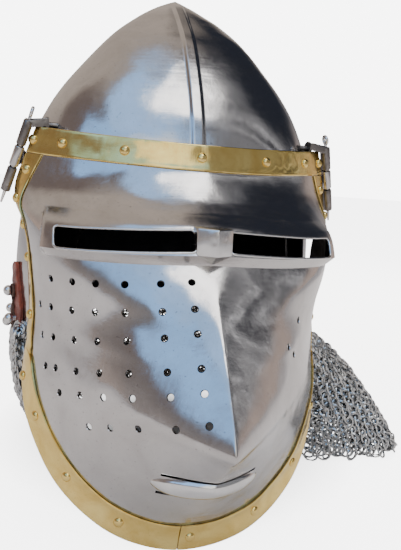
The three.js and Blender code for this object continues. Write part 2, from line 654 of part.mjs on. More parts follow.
// The leaf lies inside the visor's side edge, turns round it and holds the middle knuckle.
function hingeLeaf() {
  const half = KNUCKLE_GAP / 2 / BARREL.length();
  const [from, to] = [MIDDLE_KNUCKLE[0] + half, MIDDLE_KNUCKLE[1] - half];
  const [top, foot] = [BAND_FOOT, BAND_FOOT + LEAF_HEIGHT / CHIN_DROP];
  const outer = -VISOR_WALL - FIT_GAP;
  const inner = outer - LEAF_THICKNESS;
  const columns = [LEAF_START, (LEAF_START + 1) / 2, 1];
  const lifted = (lift) => grid([top, foot], columns, (across, down) => visorPoint(across, down, lift));
  const band = toSolid(wallBetween(lifted(outer), lifted(inner)));
  const ends = [top, foot].flatMap((down) => [outer, inner].map((lift) => visorPoint(1, down, lift)));
  const away = rim(1, top).sub(rim(LEAF_START, top)).setLength(LEAF_TURN);
  const past = ends.map((point) => point.clone().add(away));
  const core = [from, to].flatMap((share) => barrelRing(share, PIN_RADIUS + FIT_GAP));
  const knuckle = hull([from, to].flatMap((share) => barrelRing(share, BARREL_RADIUS)));
  return joined([band, hull([...ends, ...past]), hull([...past, ...core]), knuckle]).subtract(pinChannel());
}

const PIN_SIDES = 6;
const PIN_LOOP_STEPS = 9;
const PIN_LOOP_TURN = 0.9 * 2 * Math.PI;

function hingePin() {
  const length = BARREL.length();
  const head = (-2.5 * PIN_RADIUS) / length;
  const loop = Array.from({ length: PIN_LOOP_STEPS }, (_, i) => {
    const turn = (i / PIN_LOOP_STEPS) * PIN_LOOP_TURN;
    const up = head * length - PIN_LOOP_RADIUS + PIN_LOOP_RADIUS * Math.cos(turn);
    return onBarrel(up / length, PIN_LOOP_RADIUS * Math.sin(turn), 0);
  });
  const tail = onBarrel(1 + PIN_TAIL / length, 0, 0);
  const shaft = [1, 0.5, 0, head / 2].map((share) => onBarrel(share, 0, 0));
  return toSolid(rod([tail, ...shaft, ...loop], PIN_RADIUS, PIN_SIDES, 2 * PIN_LOOP_STEPS));
}

// The bolt's inner head is cut to the skull's inner face, and its shank passes the arm and skull.
function pivotBolt() {
  const outside = BOSS_OUTER + FIT_GAP;
  const inside = skullSide(PIVOT_BACK, PIVOT_HEIGHT, SKULL_WALL);
  const disc = (from, to, radius) => hull([from, to].flatMap((x) => pivotRing(x, radius)));
  const shank = disc(inside - BOLT_HEAD_RISE, outside + BOLT_HEAD_RISE / 2, BOLT_RADIUS);
  const head = disc(outside, outside + BOLT_HEAD_RISE, BOLT_HEAD_RADIUS);
  const foot = disc(inside - 2 * BOLT_HEAD_RISE, inside, BOLT_HEAD_RADIUS).subtract(skullWall(FIT_GAP));
  return joined([shank, head, foot]);
}

function mirrored(solid, side) {
  const geometry = toGeometry(solid);
  if (side > 0) return geometry;
  geometry.scale(-1, 1, 1);
  geometry.index.array.reverse();
  return geometry;
}

function hinges() {
  const pieces = {
    pivot_arm: [pivotArm(), DARK_STEEL],
    hinge_leaf: [hingeLeaf(), STEEL],
    hinge_pin: [hingePin(), STEEL],
    pivot_bolt: [pivotBolt(), DARK_STEEL],
  };
  for (const [piece, [solid, look]] of Object.entries(pieces)) {
    for (const [name, side] of SIDES) addPiece(`${piece}_${name}`, mirrored(solid, side), look);
  }
}

function skullSolid() {
  const ends = [-SKULL_HALF_WIDTH, SKULL_HALF_WIDTH];
  const holes = hull(ends.flatMap((x) => pivotRing(x, BOLT_RADIUS + FIT_GAP)));
  return skullWall(0).subtract(holes);
}

// Leather band. turn is the share of the way from the face round to the nape, drop the share of
// the rim's drop at which the band's middle lies.
const LEATHER_PATH = [
  { turn: 0.474, drop: 0.6 },
  { turn: 0.452, drop: 0.71 },
  { turn: 0.438, drop: 0.81 },
  { turn: 0.452, drop: 0.89 },
  { turn: 0.505, drop: 0.92 },
  { turn: 0.62, drop: 0.92 },
  { turn: 0.8, drop: 0.92 },
  { turn: 1.0, drop: 0.92 },
];
const LEATHER_HALF = LEATHER_PATH.map(({ turn, drop }) => new THREE.Vector2(turn, drop));
const LEATHER_REST = LEATHER_HALF.slice(0, -1).reverse().map(({ x, y }) => new THREE.Vector2(2 - x, y));
const LEATHER_LINE = new THREE.SplineCurve([...LEATHER_HALF, ...LEATHER_REST]);
const LEATHER_END = 0.022;
const LEATHER_TIP = 0.2;
const LEATHER_MIDS = 28;

// A point on or off the skull at a share along the band, and a share of its half-width across it.
function bandPoint(along, across, lift) {
  const middle = LEATHER_LINE.getPoint(along);
  const ahead = LEATHER_LINE.getTangent(along);
  const onSkull = (turn, drop) => skullPoint((turn - 2 * (turn > 1)) * Math.PI * -1, -drop, -lift);
  const step = 1e-3;
  const round = onSkull(middle.x, middle.y).distanceTo(onSkull(middle.x + step, middle.y)) / step;
  const way = new THREE.Vector2(ahead.x * round, -ahead.y * SKULL_RIM_DROP).normalize();
  const off = (across * LEATHER_WIDTH) / 2;
  return onSkull(middle.x - (way.y * off) / round, middle.y - (way.x * off) / SKULL_RIM_DROP);
}

function leatherBand(low, high) {
  const middles = Array.from({ length: LEATHER_MIDS + 1 }, (_, i) => {
    return THREE.MathUtils.lerp(LEATHER_END, 1 - LEATHER_END, i / LEATHER_MIDS);
  });
  const end = [0, 0.12, 0.4].map((share) => share * LEATHER_END);
  const columns = [...end, ...middles, ...end.slice().reverse().map((share) => 1 - share)];
  const roundness = (along) => {
    const inside = Math.min(along, 1 - along, LEATHER_END) / LEATHER_END;
    return Math.max(Math.sqrt(1 - (1 - inside) ** 2), LEATHER_TIP);
  };
  const lifted = (lift) => grid([1, -1], columns, (along, side) => {
    return bandPoint(along, side * roundness(along), lift);
  });
  return toSolid(wallBetween(lifted(high), lifted(low)));
}

// Where the vervelles stand, as shares along the band's right half.
const VERVELLE_PLACES = [0.086, 0.196, 0.276, 0.33, 0.367, 0.402, 0.44, 0.479];

function vervelles() {
  const waist = 0.72 * VERVELLE_RADIUS;
  const foot = -LEATHER_THICKNESS;
  const profile = [
    [0, foot],
    [waist, foot],
    [waist, 0],
    [VERVELLE_RADIUS, 0.4 * VERVELLE_RISE],
    [waist, 0.85 * VERVELLE_RISE],
    [0, VERVELLE_RISE],
  ];
  const seat = leatherBand(-2 * LEATHER_THICKNESS, LEATHER_THICKNESS + 2 * FIT_GAP);
  for (const [name, side] of SIDES) {
    VERVELLE_PLACES.forEach((share, i) => {
      const along = side < 0 ? share : 1 - share;
      const place = bandPoint(along, 0, LEATHER_THICKNESS);
      const away = bandPoint(along, 0, LEATHER_THICKNESS + VERVELLE_RISE).sub(place).normalize();
      const knob = toSolid(standing(turned(profile, VERVELLE_SIDES), place, away));
      addPiece(`vervelle_${name}_${i}`, toGeometry(knob.subtract(seat)), STEEL);
    });
  }
}

// Mail curtain from its right front edge round the back to its left. top is the share along the
// leather band, side and back place the hem on the floor, and fall is over 1 where it hangs
// straight down first and under 1 where it spreads first.
const MAIL_FOLDS = [
  { around: 0.0, top: 0.185, side: -0.3, back: 0.2, fall: 2.4 },
  { around: 0.12, top: 0.24, side: -0.3, back: 0.47, fall: 2.2 },
  { around: 0.3, top: 0.4, side: -0.17, back: 0.87, fall: 1.4 },
  { around: 0.45, top: 0.54, side: 0.254, back: 0.968, fall: 1.0 },
  { around: 0.6, top: 0.65, side: 0.636, back: 0.766, fall: 0.8 },
  { around: 0.75, top: 0.75, side: 0.953, back: 0.405, fall: 0.7 },
  { around: 0.85, top: 0.785, side: 1.0, back: 0.155, fall: 0.68 },
  { around: 0.93, top: 0.802, side: 0.805, back: 0.09, fall: 0.75 },
  { around: 1.0, top: 0.815, side: 0.58, back: 0.12, fall: 0.85 },
];
const MAIL_ROWS = [0, 0.1, 0.25, 0.45, 0.7, 1];
const MAIL_COLUMNS = 32;

function mailCurtain(floor) {
  const columns = Array.from({ length: MAIL_COLUMNS + 1 }, (_, i) => i / MAIL_COLUMNS);
  const under = -1 - (2 * FIT_GAP) / LEATHER_WIDTH;
  const outer = grid(MAIL_ROWS, columns, (around, down) => {
    const value = (name) => curve(MAIL_FOLDS, 'around', around, name);
    const top = bandPoint(value('top'), under, MAIL_LIFT + MAIL_THICKNESS);
    const hem = new THREE.Vector3(value('side') * MAIL_SPLAY, value('back') * MAIL_BACK, floor);
    const place = top.clone().lerp(hem, down ** value('fall'));
    place.z = THREE.MathUtils.lerp(top.z, floor, down);
    return place;
  });
  const inner = outer.map((row) => row.map((point, i) => {
    const ahead = row[Math.min(i + 1, MAIL_COLUMNS)].clone().sub(row[Math.max(i - 1, 0)]);
    const out = new THREE.Vector3(-ahead.y, ahead.x, 0).setLength(MAIL_THICKNESS);
    return point.clone().sub(out);
  }));
  return wallBetween(outer, inner);
}

addPiece('skull', toGeometry(skullSolid()), STEEL);
addPiece('visor', toGeometry(visorPlateSolid()), STEEL);
brassTrims();
rivets();
hinges();
const leather = leatherBand(0, LEATHER_THICKNESS + FIT_GAP).subtract(skullWall(FIT_GAP));
addPiece('leather_band', toGeometry(leather), LEATHER);
vervelles();
const floor = new THREE.Box3().setFromObject(helmet).min.z;
addPiece('mail_curtain', mailCurtain(floor), MAIL_STEEL);

const group = new THREE.Group();
group.add(helmet);
const box = new THREE.Box3().setFromObject(helmet);
helmet.position.set(-(box.min.x + box.max.x) / 2, -(box.min.y + box.max.y) / 2, -floor);
export default group;
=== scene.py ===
"""The look of a hounskull bascinet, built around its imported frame.

Surfaces are worked out in millimetres in the helmet's own frame: z is the height above the brow
line, y the depth behind the face's hinge line, and the face looks along -y. new_mesh() moves
them into the frame's metres.
"""
import json
import math

import bmesh
import bpy
import numpy as np
from mathutils import Matrix, Vector


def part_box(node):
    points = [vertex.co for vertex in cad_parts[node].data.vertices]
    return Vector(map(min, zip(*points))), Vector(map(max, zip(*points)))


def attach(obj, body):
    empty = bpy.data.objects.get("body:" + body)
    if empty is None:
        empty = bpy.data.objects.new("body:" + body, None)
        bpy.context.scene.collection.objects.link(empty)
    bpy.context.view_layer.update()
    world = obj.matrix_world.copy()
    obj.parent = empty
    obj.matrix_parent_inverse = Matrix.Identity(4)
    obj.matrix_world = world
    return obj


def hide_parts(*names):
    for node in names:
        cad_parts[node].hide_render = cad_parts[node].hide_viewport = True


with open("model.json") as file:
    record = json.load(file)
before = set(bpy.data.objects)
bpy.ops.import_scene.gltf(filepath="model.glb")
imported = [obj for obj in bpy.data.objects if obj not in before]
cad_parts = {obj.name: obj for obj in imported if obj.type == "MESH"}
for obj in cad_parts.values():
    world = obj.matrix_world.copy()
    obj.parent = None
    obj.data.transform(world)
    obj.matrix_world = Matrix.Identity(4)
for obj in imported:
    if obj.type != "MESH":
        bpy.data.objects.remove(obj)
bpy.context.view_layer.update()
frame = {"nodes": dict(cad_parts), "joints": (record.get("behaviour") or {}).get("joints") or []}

# Places shared with the frame
PIVOT = np.array([0.0, 9.0, 13.0])
LIFT = next(joint for joint in frame["joints"] if joint["name"] == "visor_lift")
SHIFT = 1000 * np.array(LIFT["pos_m"]) - PIVOT
FLOOR = -SHIFT[2]
NODES = sorted(frame["nodes"])
SIDES = {"right": -1, "left": 1}

# Sizes in millimetres
APEX_HEIGHT = 117
APEX_BACK = 72
SKULL_HALF_WIDTH = 114
SKULL_FRONT = 38
SKULL_BACK = 181
SKULL_WIDEST = 42
SKULL_WALL = 2
SKULL_RIM_DROP = 145
SKULL_POWER = 2.3
FACE_TOP_DROP = 28
FACE_ANGLES = (0.62, 0.82)
RIDGE_HALF_WIDTH = 3.2
RIDGE_FOOT = 2.2
RIDGE_RISE = 1.6
RIDGE_END = -0.5

VISOR_HALF_WIDTH = 105
SNOUT_REACH = 152
CHIN_DROP = 256
VISOR_WALL = 1.6
KEEL_ROUND = 0.9
EYE_SLOT_HEIGHT = 12.5
EYE_SLOT_DROP = 49
EYE_SLOT_INNER = 11
EYE_SLOT_OUTER = 94
EYE_SLOT_BACK = 25
EYE_SLOT_FALL = 5.5
EYE_SLOT_CORNER = 2.6
LEDGE_OUT = 7
LEDGE_LIP = 2
LEDGE_FOOT = 6.5
LEDGE_FADE = 5
NOSE_KEEL_RISE = 5
MOUTH_DROP = 187
MOUTH_HALF_LENGTH = 34
MOUTH_BAR_WIDTH = 14
MOUTH_BAR_RISE = 4.5
MOUTH_SLIT = 2.5
MOUTH_SLIT_END = 4
BREATH_RADIUS = 2.1

BRASS_THICKNESS = 1
BROW_BAND_WIDTH = 17
SIDE_TRIM_WIDTH = 13
CHIN_TRIM_WIDTH = 19
TRIM_JOINT_SIDE = 8
RIVET_RADIUS = 3.4
RIVET_RISE = 2.3
FIT_GAP = 0.3

BOSS_RADIUS = 5.5
BOLT_HEAD_RADIUS = 3.3
BOLT_HEAD_RISE = 1.8
ARM_THICKNESS = 2.2
ARM_WIDTH = 5
BARREL_RADIUS = 3.3
BARREL_TOP = np.array([109.3, 3.0, 15.0])
BARREL_FOOT = np.array([123.4, 14.0, -33.0])
KNUCKLE_GAP = 1
MIDDLE_KNUCKLE = (0.35, 0.65)
PIN_RADIUS = 1.2
PIN_TAIL = 9
PIN_LOOP_RADIUS = 2.8
LEAF_THICKNESS = 1.2
LEAF_HEIGHT = 5.8
LEAF_START = 0.88
LEAF_TURN = 3

LEATHER_WIDTH = 22
LEATHER_THICKNESS = 2.5
LEATHER_END = 0.022
VERVELLE_RADIUS = 4
VERVELLE_RISE = 8
LACE_RADIUS = 1.1
MAIL_THICKNESS = 3
MAIL_LIFT = 0.8
MAIL_SPLAY = 236
MAIL_BACK = 222
MAIL_LAYER = 2.8
RING_PITCH = 9
RING_FALL = 4.5
RING_RADIUS = 5.9
RING_WIRE = 0.92
RING_LEAN = math.radians(24)


# Tables and curves

def table(columns, *rows):
    """A table as one array a column."""
    return {name: np.array(values, float) for name, values in zip(columns, zip(*rows))}


def curve(rows, key, places, column):
    """A smooth curve through a table's rows: cubic pieces whose slope at each row is the chord
    between its two neighbours."""
    keys, values = rows[key], rows[column]
    last = len(keys) - 1
    i = np.clip(np.searchsorted(keys, places, side="right") - 1, 0, last - 1)
    span = keys[i + 1] - keys[i]
    t = (places - keys[i]) / span
    before, after = np.maximum(i - 1, 0), np.minimum(i + 2, last)
    start = (values[i + 1] - values[before]) / (keys[i + 1] - keys[before]) * span
    stop = (values[after] - values[i]) / (keys[after] - keys[i]) * span
    flat = values[i] * (1 - 3 * t**2 + 2 * t**3) + values[i + 1] * (3 * t**2 - 2 * t**3)
    return flat + start * (t - 2 * t**2 + t**3) + stop * (t**3 - t**2)


def spline(points, places):
    """Points on an even Catmull-Rom spline through a list, at shares 0 to 1 of the way along it."""
    points = np.asarray(points, float)
    last = len(points) - 1
    at = np.clip(places, 0, 1) * last
    i = np.minimum(np.floor(at).astype(int), last - 1)
    t = (at - i)[..., None]
    p0, p1 = points[np.maximum(i - 1, 0)], points[i]
    p2, p3 = points[i + 1], points[np.minimum(i + 2, last)]
    v0, v1 = (p2 - p0) / 2, (p3 - p1) / 2
    return (2 * p1 - 2 * p2 + v0 + v1) * t**3 + (3 * p2 - 3 * p1 - 2 * v0 - v1) * t**2 + v0 * t + p1


def smoothstep(places, low, high):
    t = np.clip((places - low) / (high - low), 0, 1)
    return t * t * (3 - 2 * t)


def unit(vectors):
    return vectors / np.maximum(np.linalg.norm(vectors, axis=-1, keepdims=True), 1e-12)


def turns(count):
    """Angles evenly spaced once round."""
    return np.linspace(0, 2 * math.pi, count, endpoint=False)


def stack(*parts):
    """Points from their x, y and z arrays."""
    return np.stack(np.broadcast_arrays(*parts), -1).astype(float)


def steps(*stops):
    """Rising places through several stops: value, then count and value, and so on."""
    places = [np.array([stops[0]])]
    for start, count, stop in zip(stops[0::2], stops[1::2], stops[2::2]):
        places.append(np.linspace(start, stop, count + 1)[1:])
    return np.concatenate(places)


def wobble(points, amount, length):
    """Slow unevenness of beaten plate: three sine waves along slanted directions, multiplied and
    added, with a wave length in millimetres."""
    x, y, z = np.moveaxis(points * (2 * math.pi / length), -1, 0)
    a = np.sin(0.83 * x + 0.41 * z + 1.3) * np.sin(0.67 * z - 0.52 * x + 0.9 * y)
    b = np.sin(0.39 * x - 0.71 * y + 0.93 * z + 2.1)
    return amount * (0.6 * a + 0.4 * b)


# Forms: places, faces of four corners and faces of three

def outward(places, quads, triangles):
    """Turns the faces round where they enclose a negative volume."""
    halves = [quads[:, [0, 1, 2]], quads[:, [0, 2, 3]], triangles]
    a, b, c = np.moveaxis(places[np.concatenate(halves)], 1, 0)
    if np.einsum("ij,ij->", a, np.cross(b, c)) < 0:
        quads, triangles = quads[:, ::-1], triangles[:, ::-1]
    return places, quads, triangles


def loft(rings, closed=False):
    """A skin over closed rings of points, shape (rings, points, 3). It runs round from the last
    ring to the first, or else each end is closed by a fan to its ring's middle."""
    n, m = rings.shape[:2]
    i, j = np.meshgrid(np.arange(n if closed else n - 1), np.arange(m), indexing="ij")
    i2, j2 = (i + 1) % n, (j + 1) % m
    quads = np.stack([i * m + j, i2 * m + j, i2 * m + j2, i * m + j2], -1).reshape(-1, 4)
    places = rings.reshape(-1, 3)
    if closed:
        return outward(places, quads, np.zeros((0, 3), int))
    places = np.concatenate([places, rings[[0, -1]].mean(1)])
    j = np.arange(m)
    k = (j + 1) % m
    first = np.stack([np.full(m, n * m), j, k], -1)
    last = np.stack([np.full(m, n * m + 1), (n - 1) * m + k, (n - 1) * m + j], -1)
    return outward(places, quads, np.concatenate([first, last]))


def wall(outer, inner):
    """A closed wall between two open grids of points, shape (rows, columns, 3)."""
    n, m = outer.shape[:2]
    index = np.arange(n * m).reshape(n, m)

    def quads(grid):
        return np.stack([grid[:-1, :-1], grid[1:, :-1], grid[1:, 1:], grid[:-1, 1:]], -1).reshape(-1, 4)

    edge = np.concatenate([index[0, :-1], index[:-1, -1], index[-1, :0:-1], index[:0:-1, 0]])
    following = np.roll(edge, -1)
    rim = np.stack([edge, following, following + n * m, edge + n * m], -1)
    faces = np.concatenate([quads(index), quads(index)[:, ::-1] + n * m, rim])
    places = np.concatenate([outer.reshape(-1, 3), inner.reshape(-1, 3)])
    return outward(places, faces, np.zeros((0, 3), int))


def lathe(profile, sides):
    """A profile of radius and height turned about the z axis, its two ends closed flat."""
    radius, height = np.array(profile, float).T[:, :, None]
    turn = turns(sides)
    return loft(stack(radius * np.cos(turn), radius * np.sin(turn), height))


def hull(points):
    """The convex hull of some points."""

    shape = bmesh.new()
    for point in points:
        shape.verts.new(point)
    bmesh.ops.convex_hull(shape, input=shape.verts)
    bmesh.ops.delete(shape, geom=[v for v in shape.verts if not v.link_faces], context="VERTS")
    shape.verts.index_update()
    places = np.array([v.co for v in shape.verts])
    triangles = np.array([[v.index for v in face.verts] for face in shape.faces])
    shape.free()
    return outward(places, np.zeros((0, 4), int), triangles)


def frames(path, closed=False):
    """Directions along a path and two across it, the first across kept as level as it can be."""
    if closed:
        ahead = unit(np.roll(path, -1, 0) - np.roll(path, 1, 0))
    else:
        ahead = unit(np.gradient(path, axis=0))
    steep = np.abs(ahead[:, 2:]).max() > 0.9
    guide = np.array([0.3, 1.0, 0.1]) if steep else np.array([0.0, 0.0, 1.0])
    side = unit(np.cross(ahead, guide))
    return ahead, side, np.cross(side, ahead)


def tube(path, radius, sides=12, closed=False):
    """A round rod of one radius, or one radius a point, along a path."""
    path = np.asarray(path, float)
    _, side, up = frames(path, closed)
    turn = turns(sides)[None, :, None]
    radius = np.broadcast_to(radius, len(path))[:, None, None]
    return loft(path[:, None] + radius * (np.cos(turn) * side[:, None] + np.sin(turn) * up[:, None]), closed)


def combined(forms):
    """Several forms as one."""
    first = np.cumsum([0] + [len(places) for places, _, _ in forms])
    return (
        np.concatenate([places for places, _, _ in forms]),
        np.concatenate([quads + start for (_, quads, _), start in zip(forms, first)]),
        np.concatenate([triangles + start for (_, _, triangles), start in zip(forms, first)]),
    )


def standing(form, places, directions, twists=0.0):
    """Copies of a form made round +z, each stood on a place along a direction and twisted."""
    points, quads, triangles = form
    up = unit(np.atleast_2d(directions))
    guide = np.where(np.abs(up[:, 2:]) > 0.9, [[1.0, 0.0, 0.0]], [[0.0, 0.0, 1.0]])
    x = unit(np.cross(guide, up))
    y = np.cross(up, x)
    turn = np.broadcast_to(twists, len(up))[:, None]
    across, along = np.cos(turn) * x + np.sin(turn) * y, np.cos(turn) * y - np.sin(turn) * x
    basis = np.stack([across, along, up], 1)
    moved = np.einsum("vi,kij->kvj", points, basis) + np.atleast_2d(places)[:, None]
    shift = (np.arange(len(up)) * len(points))[:, None, None]
    quads, triangles = quads[None] + shift, triangles[None] + shift
    return moved.reshape(-1, 3), quads.reshape(-1, 4), triangles.reshape(-1, 3)


def mirrored(form):
    places, quads, triangles = form
    return places * [-1, 1, 1], quads[:, ::-1], triangles[:, ::-1]


def new_mesh(name, form, crease=40):
    """A Blender object from a form, smooth apart from edges sharper than the crease angle."""
    places, quads, triangles = form
    mesh = bpy.data.meshes.new(name)
    mesh.vertices.add(len(places))
    mesh.vertices.foreach_set("co", ((places + SHIFT) / 1000).astype(np.float32).ravel())
    corners = np.concatenate([quads.ravel(), triangles.ravel()])
    sizes = np.concatenate([np.full(len(quads), 4), np.full(len(triangles), 3)])
    mesh.loops.add(len(corners))
    mesh.loops.foreach_set("vertex_index", corners.astype(np.int32))
    mesh.polygons.add(len(sizes))
    mesh.polygons.foreach_set("loop_start", (np.cumsum(sizes) - sizes).astype(np.int32))
    mesh.update(calc_edges=True)
    mesh.validate()
    shade(mesh, crease)
    made = bpy.data.objects.new(name, mesh)
    bpy.context.scene.collection.objects.link(made)
    return made


def shade(mesh, crease):
    mesh.shade_smooth()
    mesh.set_sharp_from_angle(angle=math.radians(crease))


def apply_modifiers(made, crease=40):
    """Turns an object's modifiers into its mesh."""
    graph = bpy.context.evaluated_depsgraph_get()
    mesh = bpy.data.meshes.new_from_object(made.evaluated_get(graph))
    made.modifiers.clear()
    made.data = mesh
    shade(mesh, crease)


def cut(made, form, operation="DIFFERENCE"):
    """Cuts one form out of an object, or joins it to it."""
    tool = new_mesh("cutter", form)
    modifier = made.modifiers.new("cut", "BOOLEAN")
    modifier.operation = operation
    modifier.solver = "MANIFOLD"
    modifier.object = tool
    apply_modifiers(made)
    bpy.data.objects.remove(tool)


def bevelled(made, width, segments=3, crease=40):
    modifier = made.modifiers.new("edges", "BEVEL")
    modifier.width = width / 1000
    modifier.segments = segments
    modifier.limit_method = "ANGLE"
    modifier.angle_limit = math.radians(crease)
    apply_modifiers(made)
    return made


def finish_piece(made, body, material, nodes=()):
    """Says what a piece is made of, what carries it and which nodes it stands for."""
    if not made.data.materials:
        made.data.materials.append(material)
    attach(made, body)
    if nodes:
        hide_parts(*nodes)


def with_near_black_inside(made, inside):
    """Steel outside and near-black steel on the faces that lie inside."""
    made.data.materials.append(STEEL)
    made.data.materials.append(INNER_STEEL)
    made.data.polygons.foreach_set("material_index", inside.astype(np.int32))
    return made


def nodes_named(*starts):
    return [name for name in NODES if name.startswith(starts)]


# Skull. Heights above the brow are shares of APEX_HEIGHT, and those below it of the rim's drop.
SKULL_SECTIONS = table(
    ("height", "width", "front", "back", "middle"),
    (-1.0, 0.985, 0.96, 0.985, 0.0),
    (-0.6, 1.0, 1.0, 1.0, 0.0),
    (-0.25, 0.965, 0.955, 0.99, 0.0),
    (0.0, 0.92, 0.887, 0.961, 0.0),
    (0.16, 0.868, 0.81, 0.952, 0.0),
    (0.34, 0.765, 0.67, 0.919, 0.0),
    (0.54, 0.6, 0.47, 0.832, 0.03),
    (0.72, 0.44, 0.31, 0.665, 0.22),
    (0.85, 0.28, 0.175, 0.455, 0.52),
    (0.93, 0.152, 0.09, 0.25, 0.78),
    (0.975, 0.062, 0.04, 0.08, 0.94),
    (1.0, 0.0, 0.0, 0.0, 1.0),
)


def skull_width(share, inset):
    return curve(SKULL_SECTIONS, "height", share, "width") * (SKULL_HALF_WIDTH - inset)


def skull_point(angle, share, inset):
    """x is the half-width times a rounded sine of the angle, y the middle less the front or back
    reach times a rounded cosine, with 2/SKULL_POWER as the power."""
    value = {name: curve(SKULL_SECTIONS, "height", share, name) for name in ("front", "back", "middle")}
    middle = SKULL_WIDEST + (APEX_BACK - SKULL_WIDEST) * value["middle"]
    front = value["front"] * (SKULL_FRONT + SKULL_WIDEST - inset)
    back = value["back"] * (SKULL_BACK - SKULL_WIDEST - inset)
    reach = np.where(np.cos(angle) > 0, front, back)
    round_sin = np.sign(np.sin(angle)) * np.abs(np.sin(angle)) ** (2 / SKULL_POWER)
    round_cos = np.sign(np.cos(angle)) * np.abs(np.cos(angle)) ** (2 / SKULL_POWER)
    z = np.where(share > 0, share * (APEX_HEIGHT - inset), share * SKULL_RIM_DROP)
    return stack(skull_width(share, inset) * round_sin, middle - reach * round_cos, z)


def skull_angles(share):
    """Column angles at each height: close together on the ridge and round the face opening."""
    width = skull_width(share, 0)[:, None]
    ridge = steps(0, 12, RIDGE_HALF_WIDTH + RIDGE_FOOT + 0.6)
    ridge = ridge * np.minimum(1, 0.5 * width / ridge[-1])
    ridge = np.arcsin((ridge / np.maximum(width, 1e-6)) ** (SKULL_POWER / 2))
    foot = ridge[:, -1:]
    front = foot + (math.pi / 2 - foot) * steps(0, 14, 0.32, 22, 0.56, 20, 1)[1:]
    back = (math.pi - foot) + (foot - math.pi / 2) * steps(0, 40, 1)[1:-1]
    half = np.concatenate([ridge, front, back[:, ::-1], math.pi - ridge[:, ::-1]], 1)
    return np.concatenate([half, -half[:, -2:0:-1]], 1)


def skull_piece():
    outer = np.concatenate([np.sin(steps(1.545, 70, 0)), steps(0, 46, -1)[1:]])
    inner = np.concatenate([steps(-1, 30, 0), np.sin(steps(0, 40, 1.5))[1:]])
    lip = np.linspace(0, math.pi, 8)[1:-1]
    share = np.concatenate([outer, np.full(len(lip), -1.0), inner])
    inset = np.concatenate([0 * outer, SKULL_WALL / 2 * (1 - np.cos(lip)), 0 * inner + SKULL_WALL])
    hang = np.concatenate([0 * outer, SKULL_WALL / 2 * np.sin(lip), 0 * inner])
    angle = skull_angles(share)
    opened = smoothstep(np.abs(angle), *FACE_ANGLES)
    drop = FACE_TOP_DROP + (SKULL_RIM_DROP - FACE_TOP_DROP) * opened
    share, inset = np.broadcast_to(share[:, None], angle.shape), np.broadcast_to(inset[:, None], angle.shape)
    share = np.where(share < 0, share * drop / SKULL_RIM_DROP, share)
    rings = skull_point(angle, share, inset)
    rings = skull_point(angle, share, inset - wobble(rings, 0.45, 74) - wobble(rings, 0.12, 31))
    rings[..., 2] -= hang[:, None]
    near_x = np.abs(rings[..., 0])
    height = smoothstep(share, RIDGE_END - 0.05, RIDGE_END + 0.05) * smoothstep(skull_width(share, 0), 1, 14)
    outside = smoothstep(near_x, RIDGE_HALF_WIDTH - 0.4, RIDGE_HALF_WIDTH + RIDGE_FOOT)
    rings[..., 1] -= RIDGE_RISE * height * (1 - outside) * np.sign(np.cos(angle))
    made, around = new_mesh("skull_bowl", loft(rings)), rings.shape[1]
    faces = np.arange(len(made.data.polygons))
    first, stop = (len(outer) + len(lip) - 1) * around, (len(share) - 1) * around
    return with_near_black_inside(made, ((faces >= first) & (faces < stop)) | (faces >= stop + around))


# Visor. Rows run from the middle line out to the side edge. drop and edge_drop are shares of
# CHIN_DROP, reach and edge_reach of SNOUT_REACH, edge_width of VISOR_HALF_WIDTH. keel is 2 on a
# round front and 1 on a sharp one, side is 1 on a splayed side edge.
VISOR_SECTIONS = table(
    ("drop", "reach", "edge_width", "edge_reach", "edge_drop", "keel", "side"),
    (-0.033, 0.232, 0.99, -0.04, -0.045, 2, 1),
    (0.033, 0.26, 1.045, -0.05, 0.024, 2, 1),
    (0.1, 0.345, 1.1, -0.075, 0.1, 2, 1.15),
    (0.15, 0.43, 1.1, -0.07, 0.15, 2, 1.7),
    (0.195, 0.475, 1.055, -0.035, 0.195, 2, 2.6),
    (0.25, 0.525, 1.025, -0.01, 0.25, 1.75, 2.8),
    (0.375, 0.71, 1.005, 0.015, 0.355, 1.15, 2),
    (0.484, 0.86, 0.995, 0.04, 0.43, 1.05, 1.65),
    (0.61, 1, 1.005, 0.06, 0.5, 1, 1.5),
    (0.65, 0.935, 1.005, 0.065, 0.515, 1.15, 1.52),
    (0.76, 0.765, 1.015, 0.075, 0.55, 1.5, 1.65),
    (0.925, 0.555, 1.025, 0.088, 0.588, 1.95, 1.85),
    (1, 0.54, 1.03, 0.092, 0.605, 2.05, 1.95),
)
BAND_TOP = VISOR_SECTIONS["drop"][0]
BAND_FOOT = BAND_TOP + BROW_BAND_WIDTH / CHIN_DROP
SLOT_TOP = (EYE_SLOT_DROP - EYE_SLOT_HEIGHT / 2 - LEDGE_LIP) / CHIN_DROP
SLOT_FOOT = (EYE_SLOT_DROP + EYE_SLOT_HEIGHT / 2 + LEDGE_LIP) / CHIN_DROP
LEDGE_START = SLOT_TOP - LEDGE_FOOT / CHIN_DROP
LEDGE_END = SLOT_FOOT + LEDGE_FOOT / CHIN_DROP
EYE_FALL_END = 0.36
VISOR_ROWS = steps(BAND_TOP, 8, BAND_FOOT, 12, LEDGE_START, 8, SLOT_TOP, 10, SLOT_FOOT, 8, LEDGE_END,
                   30, 0.43, 30, 0.61, 50, 1)
VISOR_COLUMNS = steps(-1, 84, 0, 84, 1)


